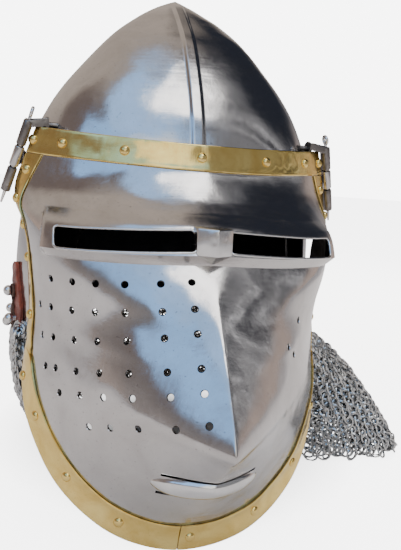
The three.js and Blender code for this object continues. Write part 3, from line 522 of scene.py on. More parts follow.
def visor_plate(across, row):
    """x is the edge width times a power of the sine of the turn, y and z run from the middle line's
    reach and drop to the side edge's by one less a power of its cosine."""
    across, row = np.broadcast_arrays(across, row)
    begun = smoothstep(row, BAND_FOOT, LEDGE_START) - smoothstep(row, LEDGE_END, EYE_FALL_END)
    down = row + EYE_SLOT_FALL / CHIN_DROP * np.abs(across) * begun
    value = {name: curve(VISOR_SECTIONS, "drop", down, name) for name in VISOR_SECTIONS if name != "drop"}
    turn = np.abs(across) * math.pi / 2
    width = value["edge_width"] * VISOR_HALF_WIDTH
    aside = np.sin(turn) ** (2 / value["keel"])
    rounded = np.minimum(np.hypot(aside, KEEL_ROUND / width), 1)
    turn = np.where(np.abs(across) < 0.5, np.arcsin(rounded ** (value["keel"] / 2)), turn)
    sweep = 1 - np.maximum(np.cos(turn), 0) ** (2 / value["side"])
    reach = value["reach"] + (value["edge_reach"] - value["reach"]) * sweep
    drop = down + (value["edge_drop"] - down) * sweep
    return stack(np.sign(across) * aside * width, -reach * SNOUT_REACH, -drop * CHIN_DROP)


def visor_normal(across, down):
    step = 2e-3
    s, t = np.clip(across, -0.96, 0.96), np.clip(down, BAND_TOP + step, 0.97)
    along = visor_plate(s + step, t) - visor_plate(s - step, t)
    downwards = visor_plate(s, t + step) - visor_plate(s, t - step)
    return unit(np.cross(downwards, along))


def visor_point(across, down, lift):
    """The plate's place, pushed out level by the eye ledges and then out along its normal."""
    plate, normal = visor_plate(across, down), visor_normal(across, down)
    rise = np.interp(down, [LEDGE_START, SLOT_TOP, SLOT_FOOT, LEDGE_END], [0, 0.55, 1, 0], left=0, right=0)
    end = EYE_SLOT_OUTER + LEDGE_LIP
    rise = LEDGE_OUT * rise * (1 - smoothstep(np.abs(plate[..., 0]), end, end + LEDGE_FADE))
    level = unit(normal * [1, 1, 0])
    lift = lift + wobble(plate, 0.35, 66) + wobble(plate, 0.1, 28)
    return plate + level * rise[..., None] + normal * np.asarray(lift)[..., None]


def last_place(low, high, holds):
    """The places between two limits where something stops being true, halved again and again."""
    for _ in range(22):
        middle = (low + high) / 2
        kept = holds(middle)
        low, high = np.where(kept, middle, low), np.where(kept, high, middle)
    return low


def visor_place(x, z):
    """The shares across and down at which the plate has places x and z."""
    x, z = np.broadcast_arrays(np.asarray(x, float), np.asarray(z, float))
    across, down = np.full(x.shape, 0.5), np.full(x.shape, 0.5)
    zero, one = np.zeros(x.shape), np.ones(x.shape)
    for _ in range(9):
        down = last_place(zero + BAND_TOP, one, lambda share: visor_plate(across, share)[..., 2] > z)
        across = last_place(zero, one, lambda share: visor_plate(share, down)[..., 0] < np.abs(x))
    return np.sign(x) * across, down


# Breath holes on the wearer's right half, and the three on the left
BREATH_COLUMNS = np.array([0.13, 0.3, 0.49, 0.64, 0.76, 0.87, 0.925])
BREATH_ROWS = [
    {"drop": 0.28, "fall": 0.045, "spread": 1.03, "holes": 6},
    {"drop": 0.33, "fall": 0.075, "spread": 1.02, "holes": 7},
    {"drop": 0.375, "fall": 0.11, "spread": 1.0, "holes": 7},
    {"drop": 0.44, "fall": 0.12, "spread": 0.98, "holes": 7},
    {"drop": 0.485, "fall": 0.135, "spread": 0.95, "holes": 6},
    {"drop": 0.54, "fall": 0.17, "spread": 0.88, "holes": 5},
]
LEFT_BREATHS = np.array([(0.64, 0.394), (0.52, 0.447), (0.58, 0.472)])


def breath_drills():
    across, drop = [LEFT_BREATHS[:, 0]], [LEFT_BREATHS[:, 1]]
    for row in BREATH_ROWS:
        places = BREATH_COLUMNS[: row["holes"]] * row["spread"]
        across.append(-places)
        drop.append(row["drop"] + row["fall"] * places)
    s, t = visor_place(np.concatenate(across) * VISOR_HALF_WIDTH, -np.concatenate(drop) * CHIN_DROP)
    r = BREATH_RADIUS
    profile = [(r + 0.5, -4), (r + 0.1, -1.2), (r, -0.8), (r, -0.5), (r + 0.35, 0.05), (r + 1.4, 1.2)]
    return standing(lathe(profile, 20), visor_point(s, t, 0 * s), visor_normal(s, t))


def slot_outline(grow=0.0):
    """Points round one eye slot as x and z: a rectangle with round corners, sheared down outwards."""
    half = np.array([(EYE_SLOT_OUTER - EYE_SLOT_INNER) / 2 + grow, EYE_SLOT_HEIGHT / 2 + grow])
    turn = turns(96)
    box = np.sign([np.cos(turn), np.sin(turn)]).T * (half - EYE_SLOT_CORNER)
    x, z = (box + EYE_SLOT_CORNER * np.stack([np.cos(turn), np.sin(turn)], -1)).T
    x = x + (EYE_SLOT_OUTER + EYE_SLOT_INNER) / 2
    return x, z - EYE_SLOT_DROP - EYE_SLOT_FALL * x / VISOR_HALF_WIDTH


def slot_cutter(side):
    x, z = slot_outline()
    return loft(stack(side * x, np.array([[-EYE_SLOT_BACK], [-SNOUT_REACH]]), z))


def on_ledge(x, z, lift):
    """Places on the visor with its ledges at x and z: the plate's place is corrected four times."""
    aim = x
    for _ in range(4):
        s, t = visor_place(aim, z)
        place = visor_point(s, t, lift)
        aim = aim + x - place[..., 0]
    return place


def slot_lips():
    """A bead round each eye slot: the slot's outline resampled evenly and carried on the ledges."""
    forms = []
    x, z = slot_outline(0.15)
    length = np.concatenate([[0], np.cumsum(np.hypot(np.diff(x), np.diff(z)))])
    even = np.linspace(0, length[-1], 150)
    x, z = np.interp(even, length, x), np.interp(even, length, z)
    for side in SIDES.values():
        forms.append(tube(on_ledge(side * x, z, 0 * x - 0.2), 0.85, 10, closed=True))
    return combined(forms)


def mouth_strip(top, foot, half, low, high, columns=40, taper=0.0):
    """A rounded bar along the visor at level heights; its section is half a flattened round."""
    x = np.linspace(-half, half, columns)[:, None] + 1e-3
    turn = np.linspace(0, math.pi, 13)
    t = np.concatenate([(1 - np.cos(turn)) / 2, [0.85, 0.5, 0.15]])
    bulge = np.concatenate([np.sin(turn) ** 0.7, [0, 0, 0]])
    slim = 1 - taper * np.abs(x / half) ** 5
    z = -(top + (foot - top) * (0.5 + (t - 0.5) * slim))
    lift = np.where(np.arange(len(t)) < 13, low + (high - low) * bulge * slim, low)
    s, d = visor_place(x, z)
    return loft(visor_point(s, d, lift))


def mouth_slit(top, foot):
    x = np.linspace(-1, 1, 30)[:, None] * (MOUTH_HALF_LENGTH - MOUTH_SLIT_END) + 1e-3
    s, d = visor_place(x, -np.array([top, foot, foot, top]))
    return loft(visor_point(s, d, np.array([3.0, 3.0, -5.0, -5.0]) + 0 * x))


def nose_bridge():
    """The keeled block between the eye slots."""
    top, foot = -SLOT_TOP * CHIN_DROP, -SLOT_FOOT * CHIN_DROP
    half = EYE_SLOT_INNER + 0.6
    face = visor_point(0.0, SLOT_FOOT, 0.0)[1]
    back = visor_point(0.0, SLOT_TOP, -VISOR_WALL)[1]
    points = [(0, face - NOSE_KEEL_RISE, z) for z in (top, foot)] + [tuple(visor_point(0.0, LEDGE_END, 0.0))]
    for x in (-half, half):
        points += [(x, face, foot), (x, face + NOSE_KEEL_RISE / 2, top), (x, back, top), (x, back, foot)]
    return hull(points)


def visor_piece():
    grid = np.meshgrid(VISOR_ROWS, VISOR_COLUMNS, indexing="ij")
    rows, columns = grid
    made = new_mesh("visor_plate", wall(visor_point(columns, rows, 0 * rows),
                                        visor_point(columns, rows, 0 * rows - VISOR_WALL)))
    faces, side = np.arange(len(made.data.polygons)), (len(VISOR_ROWS) - 1) * (len(VISOR_COLUMNS) - 1)
    with_near_black_inside(made, (faces >= side) & (faces < 2 * side))
    bar_foot = MOUTH_DROP + MOUTH_BAR_WIDTH
    over_bar = mouth_slit(MOUTH_DROP - MOUTH_SLIT, MOUTH_DROP - 0.2)
    under_bar = mouth_slit(bar_foot + 0.2, bar_foot + MOUTH_SLIT)
    cut(made, combined([slot_cutter(-1), slot_cutter(1), breath_drills(), over_bar, under_bar]))
    return made


# Brass edging: strips on the visor with a rounded section
def strip_section(width, low, high):
    """Shares across a strip's width and lifts off the plate, once round its section."""
    edge = np.array([0, 0.25, 0.7]) / width
    over = np.concatenate([edge, np.linspace(0.12, 0.88, 7), 1 - edge[::-1]])
    shoulder = [high - 0.45, high - 0.12, high]
    lift = np.concatenate([shoulder, np.full(7, high), shoulder[::-1], [low, low, low]])
    return np.concatenate([over, [0.98, 0.5, 0.02]]), lift


def brow_trim():
    over, lift = strip_section(BROW_BAND_WIDTH, FIT_GAP, FIT_GAP + BRASS_THICKNESS)
    s = np.linspace(-1, 1, 170)[:, None]
    wave = 0.16 * np.sin(s * 31) * np.sin(s * 11 + 1) * (lift > 1)
    return loft(visor_point(s, BAND_TOP + over * (BAND_FOOT - BAND_TOP), lift + wave))


def across_at(down, inside):
    """The shares across at distances in from the visor's side edge, measured along one row."""
    s = np.linspace(1, 0.55, 120)
    places = visor_point(s, np.full(s.shape, down), 0 * s)
    length = np.concatenate([[0], np.cumsum(np.linalg.norm(np.diff(places, axis=0), axis=1))])
    return np.interp(inside, length, s)


CHIN_EDGE = visor_point(np.linspace(-1, 1, 161), np.ones(161), np.zeros(161))


def down_at(across, inside):
    """The shares down at which points lie a distance in from the visor's chin edge."""
    down = np.linspace(1, 0.5, 160)
    places = visor_point(np.full(down.shape, across), down, 0 * down)
    gap = np.linalg.norm(places[:, None] - CHIN_EDGE, axis=-1).min(1)
    return np.interp(inside, np.maximum.accumulate(gap), down)


def side_trim(side):
    over, lift = strip_section(SIDE_TRIM_WIDTH, FIT_GAP, FIT_GAP + BRASS_THICKNESS)
    rows = steps(BAND_FOOT + 0.0012, 40, 0.25, 40, 0.9)
    across = np.stack([across_at(down, SIDE_TRIM_WIDTH * over) for down in rows])
    wave = 0.12 * np.sin(rows * 47)[:, None] * (lift > 1)
    return loft(visor_point(side * across, np.broadcast_to(rows[:, None], across.shape), lift + wave))


def chin_trim(start, stop):
    over, lift = strip_section(CHIN_TRIM_WIDTH, FIT_GAP, FIT_GAP + 1.3 * BRASS_THICKNESS)
    s = np.linspace(start, stop, 110)
    inner = np.array([down_at(abs(share), CHIN_TRIM_WIDTH) for share in s])
    down = 1 + (inner[:, None] - 1) * over
    wave = 0.14 * np.sin(s * 23 + 2)[:, None] * (lift > 1)
    return loft(visor_point(np.broadcast_to(s[:, None], down.shape), down, lift + wave))


BROW_RIVETS = (0, 0.305, 0.61, 0.9)
SIDE_RIVETS = (0.067, 0.125, 0.1875, 0.283, 0.502, 0.93)
CHIN_RIVETS = (0, 0.285, 0.53, 0.76)


def edge_rivets():
    places = [(s, (BAND_TOP + BAND_FOOT) / 2) for s in BROW_RIVETS]
    places += [(across_at(down, SIDE_TRIM_WIDTH / 2), down) for down in SIDE_RIVETS]
    places += [(s, down_at(s, CHIN_TRIM_WIDTH / 2)) for s in CHIN_RIVETS]
    places += [(-s, down) for s, down in places if s > 0]
    s, t = np.array(places, float).T
    turn = np.linspace(0, math.pi / 2, 9)[:-1]
    dome = [(RIVET_RADIUS, -0.4), *zip(RIVET_RADIUS * np.cos(turn), RIVET_RISE * np.sin(turn))]
    dome.append((0.2, RIVET_RISE))
    lift = BRASS_THICKNESS + FIT_GAP
    return standing(lathe(dome, 22), visor_point(s, t, lift + 0 * s), visor_normal(s, t))


# Hinges, for the side at +x
BARREL = BARREL_FOOT - BARREL_TOP
BARREL_LENGTH = np.linalg.norm(BARREL)
BARREL_AXIS = BARREL / BARREL_LENGTH
BEHIND = unit(np.array([0.0, 1.0, 0.0]) - BARREL_AXIS[1] * BARREL_AXIS)
BESIDE = np.cross(BARREL_AXIS, BEHIND)


def on_barrel(share, behind=0.0, beside=0.0):
    return BARREL_TOP + BARREL * share + BEHIND * behind + BESIDE * beside


def barrel_rings(shares, radius):
    """Points in rings round the barrel's axis."""
    across = [(radius * math.cos(t), radius * math.sin(t)) for t in turns(12)]
    return [on_barrel(share, *offset) for share in shares for offset in across]


def knuckle(start, stop):
    """A turned barrel piece with round ends."""
    length, r = (stop - start) * BARREL_LENGTH, BARREL_RADIUS
    profile = [(1.4, 0), (r - 0.8, 0), (r - 0.25, 0.25), (r, 0.9), (r, length / 2), (r, length - 0.9),
               (r - 0.25, length - 0.25), (r - 0.8, length), (1.4, length)]
    return standing(lathe(profile, 28), on_barrel(start), BARREL_AXIS)


BOX_CORNERS = [(a, b, c) for a in (0, 1) for b in (0, 1) for c in (0, 1)]


def bolt_face():
    """The x at which the left bolt's outer head sits on the arm."""
    return 1000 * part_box("pivot_bolt_left")[1][0] - SHIFT[0] - BOLT_HEAD_RISE


def hinge_arm():
    """Outer knuckles on a strap, and the neck that reaches back to the boss on the skull's bolt."""
    half = KNUCKLE_GAP / 2 / BARREL_LENGTH
    inner = bolt_face() - FIT_GAP - ARM_THICKNESS
    foot = BARREL_RADIUS - 0.4
    strap = hull([on_barrel(a, foot + 2 * b, (c - 0.5) * ARM_WIDTH) for a, b, c in BOX_CORNERS])
    y, z = PIVOT[1] - BOLT_HEAD_RADIUS - 0.6, PIVOT[2]
    neck = [(inner + a * ARM_THICKNESS, y - 3 * b, z - 0.5 + c * ARM_WIDTH) for a, b, c in BOX_CORNERS]
    ring = barrel_rings((0, 0.08), BARREL_RADIUS * 0.8)
    boss = lathe([(BOSS_RADIUS - 0.4, 0), (BOSS_RADIUS, 0.4), (BOSS_RADIUS, ARM_THICKNESS - 0.5),
                  (BOSS_RADIUS - 0.5, ARM_THICKNESS)], 32)
    boss = standing(boss, (inner, PIVOT[1], PIVOT[2]), (1, 0, 0))
    return combined([knuckle(0, MIDDLE_KNUCKLE[0] - half), knuckle(MIDDLE_KNUCKLE[1] + half, 1), strap,
                     hull(neck + ring), boss])


def hinge_leaf():
    """A plate inside the visor's side edge, which turns round it and holds the middle knuckle."""
    rows = np.array([[BAND_FOOT], [BAND_FOOT + LEAF_HEIGHT / CHIN_DROP]])
    outer, inner = (
        visor_point(np.linspace(LEAF_START, 1, 9), rows, 0 * rows - VISOR_WALL - FIT_GAP - deep)
        for deep in (0, LEAF_THICKNESS)
    )
    ends = np.concatenate([outer[:, -1], inner[:, -1]])
    past = ends + LEAF_TURN * unit(outer[0, -1] - outer[0, 0])
    low, high = MIDDLE_KNUCKLE[0] + 0.01, MIDDLE_KNUCKLE[1] - 0.01
    core = barrel_rings((low, high), PIN_RADIUS + 2 * FIT_GAP)
    return combined([wall(outer, inner), hull([*ends, *past]), hull([*past, *core]), knuckle(low, high)])


def hinge_bolt():
    turn = np.linspace(0, math.pi / 2, 8)[:-1]
    r = BOLT_HEAD_RADIUS
    dome = zip(r * np.cos(turn), 0.3 + (BOLT_HEAD_RISE - 0.3) * np.sin(turn))
    head = [(2.2, -14), (2.2, -0.2), (r, 0), *dome, (0.2, BOLT_HEAD_RISE)]
    return standing(lathe(head, 28), (bolt_face(), PIVOT[1], PIVOT[2]), (1, 0, 0))


def hinge_pin():
    """A wire with a tapered tail below the barrel and a bent loop above it."""
    head = 2.5 * PIN_RADIUS + PIN_LOOP_RADIUS
    turn = np.linspace(0, 1.8 * math.pi, 22)
    up = (head - PIN_LOOP_RADIUS * np.cos(turn)) / BARREL_LENGTH
    loop = np.array([on_barrel(-u, PIN_LOOP_RADIUS * math.sin(t)) for u, t in zip(up, turn)])
    shaft = np.array([on_barrel(share) for share in np.linspace(1 + PIN_TAIL / BARREL_LENGTH, 0, 24)])
    path = np.concatenate([shaft, loop])
    even = np.linspace(0, 1, 90)
    return tube(spline(path, even), PIN_RADIUS * np.interp(even, [0, 0.06], [0.6, 1]), 12)


# Leather band, its studs and lace. turn is the share of the way from the face round to the nape.
LEATHER_PATH = np.array([(0.474, 0.6), (0.452, 0.71), (0.438, 0.81), (0.452, 0.89), (0.505, 0.92),
                         (0.62, 0.92), (0.8, 0.92), (1.0, 0.92)])
LEATHER_LINE = np.concatenate([LEATHER_PATH, (LEATHER_PATH * [-1, 1] + [2, 0])[-2::-1]])
VERVELLE_PLACES = np.array([0.086, 0.196, 0.276, 0.33, 0.367, 0.402, 0.44, 0.479])


def band_point(along, across, lift):
    """A point on or off the skull at a share along the band and a share of its half-width across."""
    along, across, lift = np.broadcast_arrays(along, across, lift)
    middle = spline(LEATHER_LINE, along)
    ahead = spline(LEATHER_LINE, along + 1e-4) - spline(LEATHER_LINE, along - 1e-4)
    ahead = unit(ahead)

    def on_skull(turn, drop):
        angle = -math.pi * (turn - 2 * (turn > 1))
        return skull_point(angle, -drop, -lift)

    turn, drop = middle[..., 0], middle[..., 1]
    round_skull = np.linalg.norm(on_skull(turn + 1e-3, drop) - on_skull(turn, drop), axis=-1) / 1e-3
    way = unit(np.stack([ahead[..., 0] * round_skull, -ahead[..., 1] * SKULL_RIM_DROP], -1))
    off = across * LEATHER_WIDTH / 2
    return on_skull(turn - way[..., 1] * off / round_skull, drop - way[..., 0] * off / SKULL_RIM_DROP)


def leather_band():
    along = steps(0.0003, 14, LEATHER_END, 240, 1 - LEATHER_END, 14, 0.9997)[:, None]
    inside = np.minimum(np.minimum(along, 1 - along), LEATHER_END) / LEATHER_END
    half = np.maximum(np.sqrt(1 - (1 - inside) ** 2), 0.03)
    over, lift = strip_section(LEATHER_WIDTH, FIT_GAP, FIT_GAP + LEATHER_THICKNESS)
    pad = 0.25 * np.sin(along * 160) * (lift > 2)
    return loft(band_point(along, (1 - 2 * over) * half, lift + pad))


def vervelle_places():
    along = np.concatenate([VERVELLE_PLACES, 1 - VERVELLE_PLACES])
    foot = band_point(along, 0, LEATHER_THICKNESS)
    return foot, unit(band_point(along, 0, LEATHER_THICKNESS + VERVELLE_RISE) - foot)


def vervelles():
    """Turned studs: a waist under a ball."""
    r, h = VERVELLE_RADIUS, VERVELLE_RISE
    turn = np.linspace(-0.95, math.pi / 2, 12)[:-1]
    ball = [(0.98 * r * math.cos(t), 0.55 * h + 0.45 * h * math.sin(t)) for t in turn]
    profile = [(0.5 * r, -1.5), (0.8 * r, 0), (0.8 * r, 0.4), (0.55 * r, 0.8), *ball, (0.2, h)]
    return standing(lathe(profile, 24), *vervelle_places())


def lace():
    """A thong that runs from stud to stud and turns once round the first of each side."""
    forms = []
    for side in SIDES.values():
        places = VERVELLE_PLACES if side < 0 else 1 - VERVELLE_PLACES
        first, turn = places[0], np.linspace(0, 2 * math.pi, 14)
        size = VERVELLE_RADIUS * 1.15 / LEATHER_WIDTH * 2
        step = (places[1] - places[0]) * 0.16
        loop = np.stack([first + step * np.sin(turn), size * np.cos(turn), 3.6 + 0.1 * turn], -1)
        points = [loop]
        for i, (a, b) in enumerate(zip(places[:-1], places[1:])):
            t = np.linspace(0.25, 0.9, 6)
            sway = 0.32 * (-1) ** i * np.sin(math.pi * t)
            points.append(np.stack([a + (b - a) * t, sway, 3.5 + 0 * t], -1))
        points = np.concatenate(points)
        even = spline(points, np.linspace(0, 1, 260))
        forms.append(tube(band_point(even[:, 0], even[:, 1], even[:, 2]), LACE_RADIUS, 8))
    return combined(forms)


# Mail: linked rings laid in rows on the curtain's wall
MAIL_FOLDS = table(
    ("around", "top", "side", "back", "fall"),
    (0.0, 0.185, -0.3, 0.2, 2.4),
    (0.12, 0.24, -0.3, 0.47, 2.2),
    (0.3, 0.4, -0.17, 0.87, 1.4),
    (0.45, 0.54, 0.254, 0.968, 1.0),
    (0.6, 0.65, 0.636, 0.766, 0.8),
    (0.75, 0.75, 0.953, 0.405, 0.7),
    (0.85, 0.785, 1.0, 0.155, 0.68),
    (0.93, 0.802, 0.805, 0.09, 0.75),
    (1.0, 0.815, 0.58, 0.12, 0.85),
)


def mail_point(around, down):
    """From the leather band to the hem on the floor, straight or falling first, half a wall in."""
    value = {name: curve(MAIL_FOLDS, "around", around, name) for name in ("top", "side", "back", "fall")}
    under = -1 - 2 * FIT_GAP / LEATHER_WIDTH
    top = band_point(value["top"], under, MAIL_LIFT + MAIL_THICKNESS / 2)
    share = np.maximum(down, 1e-9) ** value["fall"]
    x = top[..., 0] + (value["side"] * MAIL_SPLAY - top[..., 0]) * share
    y = top[..., 1] + (value["back"] * MAIL_BACK - top[..., 1]) * share
    return stack(x, y, top[..., 2] + (FLOOR - top[..., 2]) * down)


def mail_rings(band):
    """Rings in rows a fixed fall apart, every other row leaning the other way and half a pitch on.
    Bands 0 and 1 share the outer layer, 2 and 3 the layer inside it, half a row lower."""
    layer = band // 2
    down = np.linspace(0, 1, 90)
    around = np.linspace(0, 1, 240)
    net = mail_point(around[:, None], down)
    length = np.concatenate([np.zeros((240, 1)), np.linalg.norm(np.diff(net, axis=1), axis=2).cumsum(1)], 1)
    mean_width = np.linalg.norm(np.diff(net[:, 45], axis=0), axis=1).sum()
    count = int(mean_width / RING_PITCH)
    centres, leans = [], []
    for row in range(int(length.max() / RING_FALL)):
        u = (np.arange(count) + 0.25 + 0.5 * (row % 2) - 0.2 * layer) / count
        fall = 2.2 + (row + 0.5 * layer) * RING_FALL
        full = np.interp(u, around, length[:, -1])
        nearest = np.minimum((u * 239 + 0.5).astype(int), 239)
        depth = np.array([np.interp(fall, length[k], down) for k in nearest])
        kept = fall < full - RING_RADIUS * 0.9
        centres.append(np.stack([u, depth], -1)[kept])
        leans.append(np.full(kept.sum(), RING_LEAN * (-1) ** row))
    at, lean = np.concatenate(centres), np.concatenate(leans)
    half = np.arange(len(at)) % 2 == band % 2
    at, lean = at[half], lean[half]
    rng = np.random.default_rng(7 + band)
    centre = mail_point(at[:, 0], at[:, 1])
    ahead = unit(mail_point(at[:, 0] + 2e-3, at[:, 1]) - mail_point(at[:, 0] - 2e-3, at[:, 1]))
    below = unit(mail_point(at[:, 0], at[:, 1] + 2e-3) - mail_point(at[:, 0], at[:, 1] - 2e-3))
    normal = unit(np.cross(ahead, below))
    outside = np.sign(np.sum(normal * (centre - [0, SKULL_WIDEST, 0]) * [1, 1, 0], 1, keepdims=True))
    centre = centre - layer * MAIL_LAYER * outside * normal
    lean = lean + rng.normal(0, 0.13, len(lean))
    tip = rng.normal(0, 0.12, len(lean))
    a = np.cos(lean)[:, None] * ahead + np.sin(lean)[:, None] * normal
    b = unit(below + tip[:, None] * normal)
    c = unit(np.cross(a, b))
    b = np.cross(c, a)
    big, small = turns(12), turns(5)
    radius = RING_RADIUS * rng.uniform(0.94, 1.03, len(at))[:, None, None, None]
    out = np.cos(big)[:, None, None] * a[:, None, None] + np.sin(big)[:, None, None] * b[:, None, None]
    thick = RING_WIRE * (np.cos(small)[:, None] * out + np.sin(small)[:, None] * c[:, None, None])
    places = centre[:, None, None] + radius * out + thick
    places[..., 2] = np.maximum(places[..., 2], FLOOR + 0.02)
    n = len(at)
    i, j = np.meshgrid(np.arange(12), np.arange(5), indexing="ij")
    here, beyond, j2 = i * 5, (i + 1) % 12 * 5, (j + 1) % 5
    quads = np.stack([here + j, beyond + j, beyond + j2, here + j2], -1)
    quads = (quads.reshape(-1, 4)[None] + 60 * np.arange(n)[:, None, None]).reshape(-1, 4)
    return outward(places.reshape(-1, 3), quads, np.zeros((0, 3), int))


# Shader building

def add(tree, kind, inputs=None, **settings):
    """A node with its settings, whose inputs are linked to sockets or set to values."""
    node = tree.nodes.new(kind)
    for name, value in settings.items():
        setattr(node, name, value)
    for name, value in (inputs or {}).items():
        if isinstance(value, bpy.types.NodeSocket):
            tree.links.new(value, node.inputs[name])
        else:
            node.inputs[name].default_value = value
    return node


def new_group(name, inputs, outputs):
    tree = bpy.data.node_groups.new(name, "ShaderNodeTree")
    for label, kind, value in inputs:
        socket = tree.interface.new_socket(label, in_out="INPUT", socket_type=kind)
        if value is not None:
            socket.default_value = value
    for label, kind in outputs:
        tree.interface.new_socket(label, in_out="OUTPUT", socket_type=kind)
    return tree, add(tree, "NodeGroupInput").outputs, add(tree, "NodeGroupOutput").inputs


def mapped(tree, value, low, high, to_low=0.0, to_high=1.0):
    node = add(tree, "ShaderNodeMapRange", {0: value, 1: low, 2: high, 3: to_low, 4: to_high})
    return node.outputs[0]


def noise_at(tree, place, scale, detail=3.0, roughness=0.55, distortion=0.0):
    node = add(tree, "ShaderNodeTexNoise", {"Vector": place, "Scale": scale, "Detail": detail,
                                            "Roughness": roughness, "Distortion": distortion})
    return node.outputs["Fac"]


def stretched(tree, place, scale):
    return add(tree, "ShaderNodeVectorMath", {0: place, 1: scale}, operation="MULTIPLY").outputs[0]


def maths(tree, operation, a, b):
    return add(tree, "ShaderNodeMath", {0: a, 1: b}, operation=operation).outputs[0]


def mixed(tree, share, a, b):
    node = add(tree, "ShaderNodeMix", {0: share, 6: a, 7: b}, data_type="RGBA")
    return node.outputs[2]


def beaten_metal_group():
    """Clouds of wear, polishing scratches and hammer marks of hand-worked metal."""
    tree, given, out = new_group(
        "beaten_metal",
        [("Place", "NodeSocketVector", None), ("Cloud Size", "NodeSocketFloat", 30.0),
         ("Scratch Size", "NodeSocketFloat", 400.0), ("Mark Size", "NodeSocketFloat", 90.0)],
        [("Clouds", "NodeSocketFloat"), ("Scratches", "NodeSocketFloat"), ("Marks", "NodeSocketFloat"),
         ("Pits", "NodeSocketFloat")],
    )
    clouds = noise_at(tree, given["Place"], given["Cloud Size"], 5.0, 0.62, 0.6)
    tree.links.new(mapped(tree, clouds, 0.3, 0.72), out["Clouds"])
    upright = stretched(tree, given["Place"], (1.0, 1.0, 0.07))
    level = stretched(tree, given["Place"], (0.1, 0.9, 1.0))
    fine = maths(tree, "ADD", noise_at(tree, upright, given["Scratch Size"], 2.0),
                 noise_at(tree, level, given["Scratch Size"], 2.0))
    tree.links.new(mapped(tree, fine, 0.8, 1.25), out["Scratches"])
    marks = add(tree, "ShaderNodeTexVoronoi", {"Vector": given["Place"], "Scale": given["Mark Size"],
                                               "Smoothness": 1.0}, feature="SMOOTH_F1")
    tree.links.new(marks.outputs["Distance"], out["Marks"])
    pits = noise_at(tree, given["Place"], maths(tree, "MULTIPLY", given["Mark Size"], 9.0), 2.0)
    tree.links.new(mapped(tree, pits, 0.66, 0.74), out["Pits"])
    return tree


BEATEN_METAL = beaten_metal_group()


def new_material(name):
    material = bpy.data.materials.new(name)
    material.use_nodes = True
    tree = material.node_tree
    tree.nodes.clear()
    place = add(tree, "ShaderNodeTexCoord").outputs["Object"]
    shader = add(tree, "ShaderNodeBsdfPrincipled")
    output = add(tree, "ShaderNodeOutputMaterial")
    tree.links.new(shader.outputs[0], output.inputs["Surface"])
    return material, tree, place, shader.inputs


def bump(tree, height, distance, strength=1.0, under=None):
    inputs = {"Height": height, "Distance": distance, "Strength": strength}
    if under is not None:
        inputs["Normal"] = under
    return add(tree, "ShaderNodeBump", inputs).outputs[0]


def metal(name, bright, dull, roughness, cloud=26.0, scratch=420.0, mark=75.0,
          mark_depth=0.00025, scratch_depth=0.000012):
    """A polished or darkened metal: clouds mix two colours and two roughnesses."""
    material, tree, place, shader = new_material(name)
    group = add(tree, "ShaderNodeGroup", node_tree=BEATEN_METAL)
    tree.links.new(place, group.inputs["Place"])
    for socket, value in (("Cloud Size", cloud), ("Scratch Size", scratch), ("Mark Size", mark)):
        group.inputs[socket].default_value = value
    clouds, scratches = group.outputs["Clouds"], group.outputs["Scratches"]
    colour = mixed(tree, clouds, (*bright, 1), (*dull, 1))
    pitted = mixed(tree, maths(tree, "MULTIPLY", group.outputs["Pits"], 0.55), colour,
                   (*[0.4 * c for c in dull], 1))
    tree.links.new(pitted, shader["Base Color"])
    rough = mapped(tree, clouds, 0, 1, roughness[0], roughness[1])
    rough = maths(tree, "ADD", rough, mapped(tree, scratches, 0, 1, 0.0, 0.06))
    tree.links.new(rough, shader["Roughness"])
    shader["Metallic"].default_value = 1.0
    marks = bump(tree, group.outputs["Marks"], mark_depth)
    tree.links.new(bump(tree, scratches, scratch_depth, 1.0, marks), shader["Normal"])
    return material


def leather_material():
    """Waxed red-brown hide: pebbled grain, dark in the hollows, with clouds of paler and darker red."""
    material, tree, place, shader = new_material("waxed_leather")
    grain = add(tree, "ShaderNodeTexVoronoi", {"Vector": place, "Scale": 900.0})
    pebble = mapped(tree, grain.outputs["Distance"], 0.1, 0.6)
    clouds = noise_at(tree, place, 70.0, 4.0, 0.6)
    colour = mixed(tree, mapped(tree, clouds, 0.35, 0.68), (0.31, 0.065, 0.035, 1), (0.1, 0.022, 0.016, 1))
    colour = mixed(tree, maths(tree, "MULTIPLY", pebble, 0.4), colour, (0.045, 0.014, 0.01, 1))
    tree.links.new(colour, shader["Base Color"])
    tree.links.new(mapped(tree, clouds, 0.3, 0.7, 0.36, 0.58), shader["Roughness"])
    tree.links.new(bump(tree, grain.outputs["Distance"], 0.0004, 0.6), shader["Normal"])
    return material


def lace_material():
    material, tree, place, shader = new_material("dark_thong")
    twist = noise_at(tree, place, 600.0, 3.0)
    colour = mixed(tree, twist, (0.035, 0.018, 0.013, 1), (0.09, 0.04, 0.025, 1))
    tree.links.new(colour, shader["Base Color"])
    tree.links.new(mapped(tree, twist, 0.2, 0.8, 0.5, 0.75), shader["Roughness"])
    tree.links.new(bump(tree, twist, 0.0004, 0.5), shader["Normal"])
    return material


